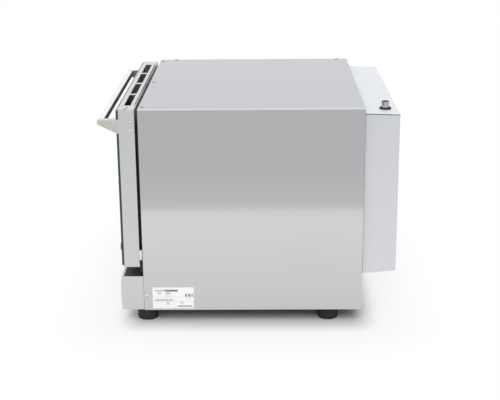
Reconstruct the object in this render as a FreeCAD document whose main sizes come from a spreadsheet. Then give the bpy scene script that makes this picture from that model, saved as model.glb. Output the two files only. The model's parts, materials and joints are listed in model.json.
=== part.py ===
"""Countertop convection oven with a drop-down glass door, two fans and a motor cover behind.

Each piece is drawn from the middle of the body's front lower edge: x to the right, y to the back,
z up. Its placement then carries it to the row's own frame, centred on the oven and standing on z = 0.
"""
import FreeCAD
import Part
import Sketcher
import math
import os
import re

# Driving dimensions in millimetres: name, value, meaning
SIZES = [
    ("body_width", 784, "across the folded wrapper"),
    ("body_depth", 638, "front frame to rear panel"),
    ("body_height", 604, "wrapper top above the body's underside"),
    ("sheet", 1.5, "steel sheet"),
    ("bend", 4, "outside radius of a fold"),
    ("flange", 14, "width of a folded edge"),
    ("push_fit", 0.02, "radial room of a pin that stays in its hole"),
    ("running_fit", 0.06, "radial room of a shaft that turns in its hole"),
    ("loose_fit", 0.3, "room round a piece that passes through or slides"),
    ("foot_height", 36, "under the body"),
    ("foot_radius", 30, "rubber foot"),
    ("foot_round", 4, "rounding of the foot's lower edge"),
    ("foot_inset", 38, "foot's centre from the body's side"),
    ("front_foot", 6, "front foot's centre behind the front plane"),
    ("rear_foot_room", 97, "rear foot's centre before the back plane"),
    ("stud_radius", 4, "foot's bolt"),
    ("stud_sink", 20, "bolt's depth in the foot"),
    ("nut_radius", 7.5, "across the corners of the bolt's nut"),
    ("nut_height", 6.5, "bolt's nut"),
    ("pan_rim", 52, "height of the base pan's folded sides"),
    ("pan_slot_length", 150, "cooling slot in the base pan"),
    ("pan_slot_width", 6, "cooling slot in the base pan"),
    ("pan_slot_pitch", 18, "between cooling slots"),
    ("pan_slot_count", 8, "cooling slots"),
    ("pan_slot_start", 200, "first cooling slot behind the front plane"),
    ("screw_radius", 2, "sheet-metal screw's shank"),
    ("screw_length", 6, "shank under the head"),
    ("screw_head", 4.4, "radius of the head"),
    ("screw_head_height", 2, "height of the head"),
    ("top_screw_inset", 34, "outer top screws in from the body's side"),
    ("top_screw_back", 10, "top screws behind the front plane"),
    ("side_screw_back", 7.4, "side screw behind the front plane"),
    ("side_screw_up", 43, "side screw above the underside"),
    ("cavity_side_room", 52, "chamber's side from the body's side"),
    ("cavity_roof_room", 78, "chamber's roof below the wrapper's top"),
    ("cavity_rear_room", 93, "chamber's back before the body's back"),
    ("cavity_floor", 198, "liner's floor above the underside"),
    ("liner_round", 12, "inside radius of the liner's long corners"),
    ("insulation", 38, "mineral wool round the liner"),
    ("gasket_width", 12, "door seal across its bead"),
    ("gasket_margin", 13, "inner edge of the seal outside the cavity's sides"),
    ("gasket_margin_low", 10, "inner edge of the seal outside the cavity's floor and roof"),
    ("gasket_corner", 18, "inside radius of the seal's corners"),
    ("gasket_round", 4, "rounding of the bead"),
    ("panel_inset", 5, "control panel in from the body's side"),
    ("panel_depth", 68, "control panel in front of the body"),
    ("panel_height", 104, "control panel"),
    ("panel_crown", 480, "radius of the panel's bowed front"),
    ("panel_lip", 7, "edge folded back above and below the panel's front"),
    ("door_inset", 14.5, "door in from the body's side"),
    ("door_gap", 11, "between door and body, filled by the seal"),
    ("door_depth", 46.5, "folded door shell"),
    ("door_bottom", 130, "door's lower edge above the underside"),
    ("door_top_inset", 4.4, "door's top below the wrapper's top"),
    ("door_rim", 22, "edge folded in behind the outer glass"),
    ("door_low_rim", 72, "lower edge folded up behind the outer glass"),
    ("door_slot_length", 148, "vent slot in the door's top"),
    ("door_slot_width", 19.5, "vent slot in the door's top"),
    ("door_slot_gap", 16, "web between vent slots"),
    ("door_slot_count", 4, "vent slots"),
    ("door_slot_forward", 36, "middle of the slots in front of the body"),
    ("door_seam", 4, "long slot between the door's top and its back"),
    ("glass_thickness", 5, "outer glass"),
    ("glass_inset", 1.5, "outer glass in from the door's side and top"),
    ("glass_low_inset", 3.6, "outer glass up from the door's lower edge"),
    ("glass_corner", 6, "outer glass corner radius"),
    ("window_side_room", 40, "door's window in from the chamber's side"),
    ("window_end_room", 20, "door's window in from the chamber's floor and roof"),
    ("inner_glass_thickness", 4, "inner glass"),
    ("inner_glass_lap", 16, "inner glass beyond its opening"),
    ("clip_width", 22, "inner glass clip"),
    ("clip_reach", 10, "clip over the glass and over the shell"),
    ("clip_spread", 220, "clips from the middle"),
    ("cap_radius", 12.5, "round cap that holds the outer glass"),
    ("cap_height", 4.5, "round cap"),
    ("cap_round", 2.5, "rounding of the cap's edge"),
    ("cap_inset", 43.5, "cap in from the door's side"),
    ("cap_up", 180, "cap above the underside"),
    ("cap_stud", 3, "radius of the cap's stud"),
    ("handle_reach", 117, "handle's nose in front of the body"),
    ("handle_drop", 28, "handle's flat top below the door's top"),
    ("bracket_height", 40, "handle bracket at the glass"),
    ("nose_radius", 8, "handle's rounded nose"),
    ("bracket_width", 18, "handle bracket"),
    ("bracket_edge", 1.5, "rounding of the bracket's edges"),
    ("grip_depth", 21, "handle bar front to back"),
    ("grip_height", 17, "handle bar"),
    ("grip_round", 3, "rounding of the bar's back edges"),
    ("handle_bolt", 3, "radius of the bolts through the glass"),
    ("handle_bolt_length", 22, "bolt under its head"),
    ("handle_bolt_head", 5.5, "radius of the bolt's head"),
    ("handle_bolt_pitch", 18, "between a bracket's two bolts"),
    ("handle_bolt_drop", 29, "lower bolt below the handle's top"),
    ("door_screw_drop", 62.6, "lower side screw below the door's top"),
    ("door_screw_pitch", 25, "between the door's side screws"),
    ("door_screw_forward", 21.5, "side screws in front of the body"),
    ("hinge_forward", 34.5, "hinge axis in front of the body"),
    ("hinge_up", 148, "hinge axis above the underside"),
    ("hinge_inset", 30, "middle of the hinge arm from the body's side"),
    ("hinge_plate", 8, "thickness of the hinge arm"),
    ("hinge_eye", 8, "radius of the arm's eye"),
    ("hinge_pin", 4, "radius of the hinge pin"),
    ("hinge_base", 3, "thickness of the hinge base"),
    ("hinge_base_width", 36, "hinge base"),
    ("hinge_post", 9, "upright part of the arm in front of its base"),
    ("hinge_room", 3, "room beside the arm in the door"),
    ("hinge_notch", 12, "door's notch beyond the hinge axis"),
    ("yoke_cheek", 6, "each cheek of the door's hinge yoke"),
    ("yoke_web", 6, "web that joins the cheeks"),
    ("rear_depth", 100, "motor cover"),
    ("rear_inset", 25, "motor cover in from the body's side"),
    ("rear_low", 104, "motor cover's lower edge above the underside"),
    ("rear_drop", 21, "motor cover's upper edge below the wrapper's top"),
    ("rear_low_taper", 7, "rise of its underside towards the back"),
    ("rear_top_taper", 4, "fall of its top towards the back"),
    ("rear_side_taper", 3, "draw-in of each side towards the back"),
    ("louvre_length", 110, "slot in the motor cover"),
    ("louvre_width", 5, "slot in the motor cover"),
    ("louvre_pitch", 14, "between slots"),
    ("louvre_count", 9, "slots in each field"),
    ("louvre_drop", 153, "lowest slot below the motor cover's upper edge"),
    ("fan_side", 165, "fan axis from the middle"),
    ("fan_radius", 98, "fan wheel"),
    ("fan_depth", 48, "fan wheel"),
    ("fan_disc", 2, "fan wheel's back plate"),
    ("fan_hub", 16, "radius of the wheel's hub"),
    ("fan_eye", 46, "inner end of the blades"),
    ("fan_blade", 2, "blade"),
    ("fan_blade_count", 10, "blades on each wheel"),
    ("fan_back_room", 14, "between wheel and liner"),
    ("shaft_radius", 6, "motor shaft"),
    ("shaft_hole", 9, "radius of the hole in the liner"),
    ("seal_radius", 18, "shaft seal plate"),
    ("seal_depth", 6, "shaft seal plate"),
    ("motor_radius", 55, "motor housing"),
    ("motor_length", 76, "motor housing"),
    ("motor_flange", 68, "radius of the motor's mounting plate"),
    ("motor_flange_depth", 5, "motor's mounting plate"),
    ("motor_boss", 20, "radius of the motor's front and back bosses"),
    ("motor_boss_depth", 8, "motor's front and back bosses"),
    ("baffle_rear_room", 75, "fan baffle before the chamber's back"),
    ("baffle_side_room", 40, "fan baffle in from the chamber's side"),
    ("baffle_end_room", 10, "fan baffle in from the chamber's floor and roof"),
    ("baffle_slot_width", 8, "slot in the baffle"),
    ("baffle_slot_height", 44, "slot in the baffle"),
    ("baffle_slot_pitch", 18, "between slots across"),
    ("baffle_slot_columns", 9, "slots across each fan"),
    ("baffle_slot_rise", 54, "between rows of slots"),
    ("baffle_slot_rows", 3, "rows of slots"),
    ("post_radius", 5, "baffle post"),
    ("post_inset", 15, "baffle post in from the baffle's edges"),
    ("heater_radius", 116, "middle line of the ring heater"),
    ("heater_tube", 4, "radius of the heater's tube"),
    ("heater_turn", 12, "radius where the ring turns into its legs"),
    ("heater_forward", 38, "ring in front of the liner's back"),
    ("heater_tail", 30, "legs behind the liner's back"),
    ("heater_gap", 13, "half angle of the ring's gap in degrees"),
    ("rack_post", 4, "radius of the rack's posts"),
    ("rack_wire", 3.5, "radius of the rack's runners"),
    ("rack_link", 3, "radius of the wires between posts, runners and wall"),
    ("rack_wall", 16, "rack's posts from the liner's side"),
    ("rack_runner", 46, "runners from the liner's side"),
    ("rack_front", 60, "front post behind the front plane"),
    ("rack_rear_room", 40, "rear post before the baffle"),
    ("rack_first", 44, "lowest runner above the cavity's floor"),
    ("rack_last", 60, "highest runner below the cavity's roof"),
    ("rack_levels", 4, "runners on each side"),
    ("rack_roof_room", 30, "rack's posts below the cavity's roof"),
    ("lamp_back", 150, "lamp behind the front plane"),
    ("lamp_drop", 53, "lamp below the cavity's roof"),
    ("lamp_radius", 22, "lamp holder"),
    ("lamp_depth", 32, "lamp holder outside the liner"),
    ("lamp_wall", 2, "lamp holder's wall"),
    ("lamp_glass_radius", 27, "lamp's cover glass"),
    ("lamp_glass_depth", 7, "lamp's cover glass inside the cavity"),
    ("bulb_radius", 7, "lamp's capsule"),
    ("bulb_length", 20, "lamp's capsule"),
    ("probe_radius", 3, "temperature probe"),
    ("probe_drop", 43, "probe below the cavity's roof"),
    ("probe_length", 45, "probe inside the cavity"),
    ("probe_tail", 28, "probe behind the liner"),
    ("probe_nut", 8, "radius of the probe's nut"),
    ("probe_nut_depth", 6, "probe's nut"),
    ("limit_radius", 9, "limit thermostat"),
    ("limit_depth", 14, "limit thermostat"),
    ("limit_rise", 62, "limit thermostat above the cavity's floor"),
    ("vent_inset", 100, "vent pipe in from the body's side"),
    ("vent_back", 64.5, "vent stub behind the rear panel"),
    ("vent_radius", 10.65, "outside of the vent pipe"),
    ("vent_bore", 8.65, "inside of the vent pipe"),
    ("vent_turn", 34, "middle line of the pipe's elbow"),
    ("vent_drop", 58, "pipe's run out of the chamber below its roof"),
    ("vent_rise", 22, "stub above the motor cover"),
    ("vent_spigot", 30, "stub's narrow end inside the pipe and the cover"),
    ("stub_bore", 6.65, "inside of the vent stub"),
    ("washer_radius", 17, "washer round the stub"),
    ("washer_height", 4, "washer round the stub"),
    ("gland_inset", 92, "cable gland in from the body's side"),
    ("gland_up", 54, "cable gland above the underside"),
    ("gland_radius", 12, "gland's thread"),
    ("gland_bore", 6, "gland's bore"),
    ("gland_nut", 17, "gland's nuts across the corners"),
    ("gland_nut_depth", 8, "gland's nuts"),
    ("gland_dome", 14, "radius of the gland's cap"),
    ("gland_dome_depth", 14, "gland's cap"),
    ("board", 1.6, "circuit board"),
    ("board_lift", 10, "power board above the base pan"),
    ("power_length", 220, "power board"),
    ("power_width", 130, "power board"),
    ("power_room", 308, "power board's front edge before the body's back"),
    ("spacer_radius", 4, "power board's spacers"),
    ("relay_height", 24, "relays on the power board"),
    ("terminal_length", 70, "terminal block"),
    ("terminal_width", 30, "terminal block"),
    ("terminal_height", 32, "terminal block"),
    ("terminal_room", 118, "terminal block's front before the body's back"),
    ("blower_inset", 112, "cooling fan in from the body's side"),
    ("blower_up", 54, "cooling fan above the underside"),
    ("blower_width", 80, "cooling fan's frame"),
    ("blower_depth", 25, "cooling fan's frame"),
    ("blower_bore", 38, "radius of the frame's opening"),
    ("blower_tip", 36, "radius of the rotor's blades"),
    ("blower_hub", 16, "radius of the rotor's hub"),
    ("blower_hub_depth", 14, "rotor's hub"),
    ("blower_seat", 14, "radius of the frame's middle plate"),
    ("blower_seat_depth", 4, "frame's middle plate and arms"),
    ("blower_arm", 5, "width of the frame's arms"),
    ("blower_pin", 2, "rotor's pin"),
    ("blower_blade", 1.5, "rotor's blade"),
    ("blower_blade_width", 14, "rotor's blade"),
    ("blower_blade_count", 7, "rotor's blades"),
    ("blower_pitch", 35, "blade angle in degrees"),
    ("grille_slot", 6, "slot in the rear panel behind the cooling fan"),
    ("grille_pitch", 11, "between those slots"),
    ("grille_count", 6, "slots"),
    ("grille_length", 60, "slots"),
    ("display_middle", -60, "display from the middle of the panel"),
    ("display_width", 150, "display window"),
    ("display_height", 44, "display window"),
    ("display_proud", 0.6, "window in front of the panel"),
    ("display_depth", 4.6, "window's thickness with that"),
    ("control_up", 52, "middle of the controls above the underside"),
    ("button_radius", 9, "push button"),
    ("button_proud", 2.2, "button in front of the panel"),
    ("button_collar", 11, "radius of the button's collar behind the panel"),
    ("button_collar_depth", 2, "button's collar"),
    ("button_stem", 3, "radius of the button's stem"),
    ("button_travel", 1.5, "press of a button"),
    ("button_left", 170, "first button left of the middle"),
    ("button_right", 130, "first button right of the middle"),
    ("button_pitch", 40, "between buttons"),
    ("dial_side", 70, "dial right of the middle"),
    ("dial_radius", 20, "dial"),
    ("dial_depth", 20, "dial"),
    ("dial_room", 1.2, "between dial and panel"),
    ("dial_taper", 2, "draw-in of the dial towards its front"),
    ("dial_groove", 1.6, "radius of the dial's grip grooves"),
    ("dial_groove_count", 12, "grip grooves"),
    ("dial_shaft", 3, "radius of the dial's shaft"),
    ("dial_hole", 4.5, "radius of its hole in the panel"),
    ("control_back", 44, "back of the control board in front of the body"),
    ("control_height", 88, "control board's upper edge above the underside"),
    ("control_half", 225, "control board from the middle"),
    ("switch_half", 4, "half the width of a switch under a button"),
    ("encoder_half", 8, "half the width of the dial's encoder"),
    ("encoder_depth", 7, "dial's encoder"),
]
NAMES = {name for name, value, meaning in SIZES}
WORD = re.compile(r"[a-z][a-z_]*")
SIDES = (("left", -1), ("right", 1))

# Sizes and places that follow from the driving dimensions
FOLLOWING = {
    "cavity_width": "body_width - 2 * cavity_side_room",
    "cavity_depth": "body_depth - cavity_rear_room",
    "cavity_height": "body_height - cavity_roof_room - cavity_floor",
    "cavity_roof": "body_height - cavity_roof_room",
    "door_top": "body_height - door_top_inset",
    "window_width": "cavity_width - 2 * window_side_room",
    "window_height": "cavity_height - 2 * window_end_room",
    "cap_side": "body_width / 2 - door_inset - cap_inset",
    "handle_top": "door_top - handle_drop",
    "handle_low": "handle_top - bracket_height",
    "handle_bolt_up": "handle_top - handle_bolt_drop",
    "door_screw_up": "door_top - door_screw_drop",
    "top_screw_side": "body_width / 2 - top_screw_inset",
    "rear_foot": "body_depth - rear_foot_room",
    "rear_high": "body_height - rear_drop",
    "louvre_up": "rear_high - louvre_drop",
    "baffle_width": "cavity_width - 2 * baffle_side_room",
    "baffle_height": "cavity_height - 2 * baffle_end_room",
    "baffle_back": "cavity_depth - baffle_rear_room",
    "post_side": "baffle_width / 2 - post_inset",
    "post_rise": "baffle_height / 2 - post_inset",
    "rack_rear": "baffle_back - rack_rear_room",
    "rack_top": "cavity_height - rack_roof_room",
    "rack_pitch": "(cavity_height - rack_first - rack_last) / (rack_levels - 1)",
    "lamp_up": "cavity_roof - lamp_drop",
    "probe_up": "cavity_roof - probe_drop",
    "limit_up": "cavity_floor + limit_rise",
    "vent_up": "cavity_roof - vent_drop",
    "vent_side": "body_width / 2 - vent_inset",
    "gland_side": "gland_inset - body_width / 2",
    "blower_side": "body_width / 2 - blower_inset",
    "power_back": "body_depth - power_room",
    "terminal_back": "body_depth - terminal_room",
}
ROW_FRONT = "((handle_reach - body_depth - rear_depth) / 2)"
INSIDE = "(body_width / 2 - sheet)"
ROOF = "(body_height - sheet)"
REAR_IN = "(body_depth - sheet)"
CAVITY_TOP = "(cavity_roof)"
CAVITY_MIDDLE = "(cavity_floor + cavity_height / 2)"
CAVITY_SIDE = "(cavity_width / 2)"
LINER_SIDE = "(cavity_width / 2 + sheet)"
LINER_BACK = "(cavity_depth + sheet)"
LINER_REAR = "(cavity_depth + 2 * sheet)"
DOOR_SIDE = "(body_width / 2 - door_inset)"
DOOR_TOP = "(door_top)"
DOOR_FRONT = "(door_gap + door_depth)"
GLASS_FRONT = "(door_gap + door_depth + glass_thickness)"
GLASS_SIDE = "(body_width / 2 - door_inset - glass_inset)"
WINDOW_LOW = "(cavity_floor + (cavity_height - window_height) / 2)"
PANEL_SIDE = "(body_width / 2 - panel_inset)"
PANEL_WALL = "(panel_depth - sheet)"
HINGE_SIDE = "(body_width / 2 - hinge_inset)"
SLOT_HALF = "(hinge_plate / 2 + hinge_room)"
WHEEL_FRONT = "(cavity_depth + sheet - fan_back_room - fan_depth)"
BLOWER_FRONT = "(body_depth - sheet - blower_depth)"
COVER_TOP = "(rear_high - rear_top_taper * vent_back / rear_depth)"
PIPE_TOP = "(rear_high - rear_top_taper - 2 * sheet)"
BUTTONS = [
    ("button_power", "(-button_left - button_pitch)"),
    ("button_lamp", "(-button_left)"),
    ("button_timer", "button_right"),
    ("button_start", "(button_right + button_pitch)"),
]
FEET = [(side, back) for side in (-1, 1) for back in ("front_foot", "rear_foot")]
UPRIGHT = FreeCAD.Rotation()
ALONG = {
    "x": FreeCAD.Rotation(FreeCAD.Vector(0, 1, 0), 90),
    "y": FreeCAD.Rotation(FreeCAD.Vector(1, 0, 0), -90),
    "z": UPRIGHT,
}

doc = FreeCAD.newDocument("oven")
sheet = doc.addObject("Spreadsheet::Sheet", "sizes")
for row, (name, value, meaning) in enumerate(SIZES, start=1):
    sheet.set(f"A{row}", name)
    sheet.set(f"B{row}", str(value))
    sheet.setAlias(f"B{row}", name)
    sheet.set(f"C{row}", meaning)
doc.recompute()
nodes = []


# Formulas and ties to the sheet
def formula(text):
    """Turn the names in a formula into references to the sheet's cells."""
    def reference(found):
        word = found[0]
        if word in FOLLOWING:
            return f"({formula(FOLLOWING[word])})"
        return f"sizes.{word}" if word in NAMES else word

    return WORD.sub(reference, str(text))


def size(text):
    """Present value of a formula."""
    return float(sheet.evalExpression(formula(text)))


def tie(thing, slot, text):
    thing.setExpression(slot, formula(text))


def mirrored(side, low, high):
    """Span on the right, or its mirror image on the left."""
    return (low, high) if side > 0 else (f"-({high})", f"-({low})")


def about(middle, half):
    return f"({middle}) - ({half})", f"({middle}) + ({half})"


# Solids from primitives and booleans
def block(x, y, z):
    """Box between a low and a high formula along each axis."""
    box = doc.addObject("Part::Box", "block")
    for slot, axis, (low, high) in zip(("Length", "Width", "Height"), "xyz", (x, y, z)):
        tie(box, slot, f"({high}) - ({low})")
        tie(box, f"Placement.Base.{axis}", low)
    return box


def rod(axis, centre, span, radius):
    """Cylinder along one axis, about a centre given on the other two."""
    cylinder = doc.addObject("Part::Cylinder", "rod")
    cylinder.Placement = FreeCAD.Placement(FreeCAD.Vector(), ALONG[axis])
    low, high = span
    tie(cylinder, "Radius", radius)
    tie(cylinder, "Height", f"({high}) - ({low})")
    tie(cylinder, f"Placement.Base.{axis}", low)
    for name, place in zip([name for name in "xyz" if name != axis], centre):
        tie(cylinder, f"Placement.Base.{name}", place)
    return cylinder


def nut(axis, centre, span, radius):
    """Six-sided nut along one axis."""
    prism = doc.addObject("Part::Prism", "nut")
    prism.Polygon = 6
    prism.Placement = FreeCAD.Placement(FreeCAD.Vector(), ALONG[axis])
    low, high = span
    tie(prism, "Circumradius", radius)
    tie(prism, "Height", f"({high}) - ({low})")
    tie(prism, f"Placement.Base.{axis}", low)
    for name, place in zip([name for name in "xyz" if name != axis], centre):
        tie(prism, f"Placement.Base.{name}", place)
    return prism


def join(*pieces):
    if len(pieces) == 1:
        return pieces[0]
    whole = doc.addObject("Part::MultiFuse", "join")
    whole.Shapes = list(pieces)
    whole.Refine = True
    return whole


def cut(base, *tools):
    rest = doc.addObject("Part::Cut", "cut")
    rest.Base = base
    rest.Tool = join(*tools)
    return rest


def shared(first, second):
    overlap = doc.addObject("Part::Common", "shared")
    overlap.Base = first
    overlap.Tool = second
    return overlap


def group(*pieces):
    """Solids kept as one node, or one solid given a placement of its own."""
    together = doc.addObject("Part::Compound", "group")
    together.Links = list(pieces)
    return together


def seat(label, piece, x="0", y="0", z="0"):
    """Name a sub-part and carry it from the body's front lower edge to the row's frame."""
    piece.Label = label
    tie(piece, "Placement.Base.x", x)
    tie(piece, "Placement.Base.y", f"{ROW_FRONT} + ({y})")
    tie(piece, "Placement.Base.z", f"foot_height + ({z})")
    nodes.append(piece)


# Bodies from sketches
def origin(body, role):
    return next(part for part in body.Origin.OriginFeatures if part.Role == role)


def sketch_on(body, plane, shift):
    """Sketch on a plane of the body's origin, moved along that axis."""
    drawing = body.newObject("Sketcher::SketchObject", "drawing")
    drawing.AttachmentSupport = (origin(body, plane), [""])
    drawing.MapMode = "FlatFace"
    tie(drawing, "AttachmentOffset.Base.z", f"-({shift})" if plane == "XZ_Plane" else shift)
    return drawing


def pin_point(drawing, item, point, across, up):
    """Fix one point of a drawing by its two distances from the origin."""
    for kind, text in (("DistanceX", across), ("DistanceY", up)):
        number = drawing.addConstraint(Sketcher.Constraint(kind, -1, 1, item, point, size(text)))
        tie(drawing, f"Constraints[{number}]", text)


def outline(body, plane, *loops, shift="0"):
    """Closed straight-sided loops, with every corner tied to the sheet."""
    drawing = sketch_on(body, plane, shift)
    for corners in loops:
        points = [FreeCAD.Vector(size(across), size(up), 0) for across, up in corners]
        first = drawing.GeometryCount
        for start, end in zip(points, points[1:] + points[:1]):
            drawing.addGeometry(Part.LineSegment(start, end))
        for step, (across, up) in enumerate(corners):
            following = first + (step + 1) % len(corners)
            drawing.addConstraint(Sketcher.Constraint("Coincident", first + step, 2, following, 1))
            pin_point(drawing, first + step, 1, across, up)
    return drawing


def box_loop(across, up):
    """Four corners of a rectangle between two spans."""
    return [(across[0], up[0]), (across[1], up[0]), (across[1], up[1]), (across[0], up[1])]


def circles(body, plane, *rounds, shift="0"):
    """Circles, each with its centre and radius tied to the sheet."""
    drawing = sketch_on(body, plane, shift)
    for across, up, radius in rounds:
        middle = FreeCAD.Vector(size(across), size(up), 0)
        item = drawing.addGeometry(Part.Circle(middle, FreeCAD.Vector(0, 0, 1), size(radius)))
        pin_point(drawing, item, 3, across, up)
        number = drawing.addConstraint(Sketcher.Constraint("Radius", item, size(radius)))
        tie(drawing, f"Constraints[{number}]", radius)
    return drawing


def pad(body, drawing, length, reverse=False, both=False):
    feature = body.newObject("PartDesign::Pad", "pad")
    feature.Profile = drawing
    feature.Midplane = both
    feature.Reversed = reverse
    tie(feature, "Length", length)
    return feature


def pocket(body, drawing, length):
    """Cut through, the same way on both sides of the drawing."""
    feature = body.newObject("PartDesign::Pocket", "pocket")
    feature.Profile = drawing
    feature.Midplane = True
    tie(feature, "Length", length)
    return feature


def revolve(body, drawing, axis):
    feature = body.newObject("PartDesign::Revolution", "revolution")
    feature.Profile = drawing
    feature.ReferenceAxis = (origin(body, axis), [""])
    feature.Angle = 360
    return feature


def fillet(body, radius, chosen):
    """Round the edges of the body's last feature that a test picks."""
    doc.recompute()
    last = body.Tip
    names = [f"Edge{n}" for n, edge in enumerate(last.Shape.Edges, start=1) if chosen(edge)]
    feature = body.newObject("PartDesign::Fillet", "fillet")
    feature.Base = (last, names)
    tie(feature, "Radius", radius)
    return feature


def row_of(body, feature, axis, count, pitch, axis_too=None, count_too=None, pitch_too=None):
    """Repeat a feature along one axis, or along two."""
    pattern = body.newObject("PartDesign::LinearPattern", "row")
    pattern.Originals = [feature]
    pattern.Direction = (origin(body, axis), [""])
    pattern.Mode = "Spacing"
    tie(pattern, "Occurrences", count)
    tie(pattern, "Offset", pitch)
    if axis_too:
        pattern.Direction2 = (origin(body, axis_too), [""])
        pattern.Mode2 = "Spacing"
        tie(pattern, "Occurrences2", count_too)
        tie(pattern, "Offset2", pitch_too)
    body.Tip = pattern
    return pattern


def ring_of(body, feature, axis, count):
    """Repeat a feature evenly round an axis."""
    pattern = body.newObject("PartDesign::PolarPattern", "ring")
    pattern.Originals = [feature]
    pattern.Axis = (origin(body, axis), [""])
    pattern.Angle = 360
    tie(pattern, "Occurrences", count)
    body.Tip = pattern
    return pattern


def new_body():
    return doc.addObject("PartDesign::Body", "body")


# Tests that pick edges to round
def runs_along(edge, axis):
    if edge.Curve.TypeId != "Part::GeomLine":
        return False
    return abs(abs(edge.Curve.Direction.dot(axis)) - 1) < 1e-6


def near(value, text):
    return abs(value - size(text)) < 1e-3


X_AXIS = FreeCAD.Vector(1, 0, 0)
Y_AXIS = FreeCAD.Vector(0, 1, 0)
Z_AXIS = FreeCAD.Vector(0, 0, 1)


# Sheet-metal screws
def screw(axis, centre, seat_at, outward):
    """Round head on a surface with its shank driven inwards."""
    head = [seat_at, f"({seat_at}) + {outward} * screw_head_height"]
    shank = [seat_at, f"({seat_at}) - {outward} * screw_length"]
    pieces = []
    for ends, radius in ((head, "screw_head"), (shank, "screw_radius")):
        low, high = sorted(ends, key=size)
        pieces.append(rod(axis, centre, (low, high), radius))
    return join(*pieces)


TOP_SCREWS = [(place, "top_screw_back") for place in ("-top_screw_side", "0", "top_screw_side")]
SIDE_SCREW = ("side_screw_back", "side_screw_up")
DOOR_SCREWS = [("-door_screw_forward", f"door_screw_up + {step} * door_screw_pitch") for step in (0, 1)]
SCREW_HOLE = "(screw_radius + running_fit)"


# Housing
def outer_wrapper():
    """Top and both sides folded from one sheet."""
    body = new_body()
    half = "body_width / 2"
    profile = [
        (f"-{half}", "0"), (f"-{INSIDE}", "0"), (f"-{INSIDE}", ROOF), (INSIDE, ROOF),
        (INSIDE, "0"), (half, "0"), (half, "body_height"), (f"-{half}", "body_height"),
    ]
    pad(body, outline(body, "XZ_Plane", profile), "body_depth", reverse=True)
    fillet(body, "bend", lambda edge: runs_along(edge, Y_AXIS)
           and near(edge.CenterOfMass.z, "body_height"))
    fillet(body, "bend - sheet", lambda edge: runs_along(edge, Y_AXIS)
           and near(edge.CenterOfMass.z, ROOF) and near(abs(edge.CenterOfMass.x), INSIDE))
    holes = circles(body, "XY_Plane", *[(x, y, SCREW_HOLE) for x, y in TOP_SCREWS], shift=ROOF)
    pocket(body, holes, "4 * sheet")
    pocket(body, circles(body, "YZ_Plane", (*SIDE_SCREW, SCREW_HOLE)), "body_width + flange")
    seat("outer_wrapper", body)


def casing_screws():
    top = [screw("z", place, "body_height", 1) for place in TOP_SCREWS]
    flanks = [screw("x", SIDE_SCREW, f"{side} * body_width / 2", side) for name, side in SIDES]
    seat("casing_screws", group(*top, *flanks))


def base_pan():
    """Floor of the body and of the control panel, with folded sides and cooling slots."""
    body = new_body()
    front = "-(panel_depth - panel_crown + sqrt(panel_crown^2 - (panel_height / 2)^2) - panel_lip)"
    cheek = f"({PANEL_SIDE} - sheet)"
    floor = [
        (f"-{INSIDE}", "0"), (f"-{cheek}", "0"), (f"-{cheek}", front), (cheek, front),
        (cheek, "0"), (INSIDE, "0"), (INSIDE, REAR_IN), (f"-{INSIDE}", REAR_IN),
    ]
    pad(body, outline(body, "XY_Plane", floor), "sheet")
    rims = [box_loop(mirrored(side, f"{INSIDE} - sheet", INSIDE), ("0", REAR_IN)) for _, side in SIDES]
    pad(body, outline(body, "XY_Plane", *rims), "pan_rim")
    studs = [(f"{side} * (body_width / 2 - foot_inset)", back, "stud_radius + loose_fit")
             for side, back in FEET]
    pocket(body, circles(body, "XY_Plane", *studs), "4 * sheet")
    pocket(body, circles(body, "YZ_Plane", (*SIDE_SCREW, SCREW_HOLE)), "body_width")
    slot = box_loop(about("0", "pan_slot_length / 2"),
                    ("pan_slot_start", "pan_slot_start + pan_slot_width"))
    row_of(body, pocket(body, outline(body, "XY_Plane", slot), "4 * sheet"),
           "Y_Axis", "pan_slot_count", "pan_slot_pitch")
    seat("base_pan", body)


def round_top_corners(body):
    fillet(body, "bend", lambda edge: runs_along(edge, Y_AXIS) and near(edge.CenterOfMass.z, ROOF)
           and near(abs(edge.CenterOfMass.x), INSIDE))


def front_frame():
    """Strips welded round the cavity's mouth, a gusset in each corner, folded back under the top."""
    head = new_body()
    strip = box_loop(about("0", INSIDE), (CAVITY_TOP, ROOF))
    pad(head, outline(head, "XZ_Plane", strip), "sheet", reverse=True)
    round_top_corners(head)
    fold = box_loop(about("0", f"{INSIDE} - flange"), (f"{ROOF} - sheet", ROOF))
    pad(head, outline(head, "XZ_Plane", fold), "flange", reverse=True)
    holes = circles(head, "XY_Plane", *[(x, y, SCREW_HOLE) for x, y in TOP_SCREWS], shift=ROOF)
    pocket(head, holes, "4 * sheet")
    sill = block(about("0", INSIDE), ("0", "sheet"), ("panel_height - sheet", "cavity_floor"))
    strips = [head, sill]
    for _, side in SIDES:
        upright = mirrored(side, CAVITY_SIDE, INSIDE)
        strips.append(block(upright, ("0", "sheet"), ("cavity_floor", CAVITY_TOP)))
        for level, step in (("cavity_floor", 1), (CAVITY_TOP, -1)):
            edge = f"{side} * {CAVITY_SIDE}"
            corner = [
                (edge, level), (f"{edge} - {side} * liner_round", level),
                (edge, f"{level} + {step} * liner_round"),
            ]
            gusset = new_body()
            pad(gusset, outline(gusset, "XZ_Plane", corner), "sheet", reverse=True)
            strips.append(gusset)
    seat("front_frame", group(*strips))


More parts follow.
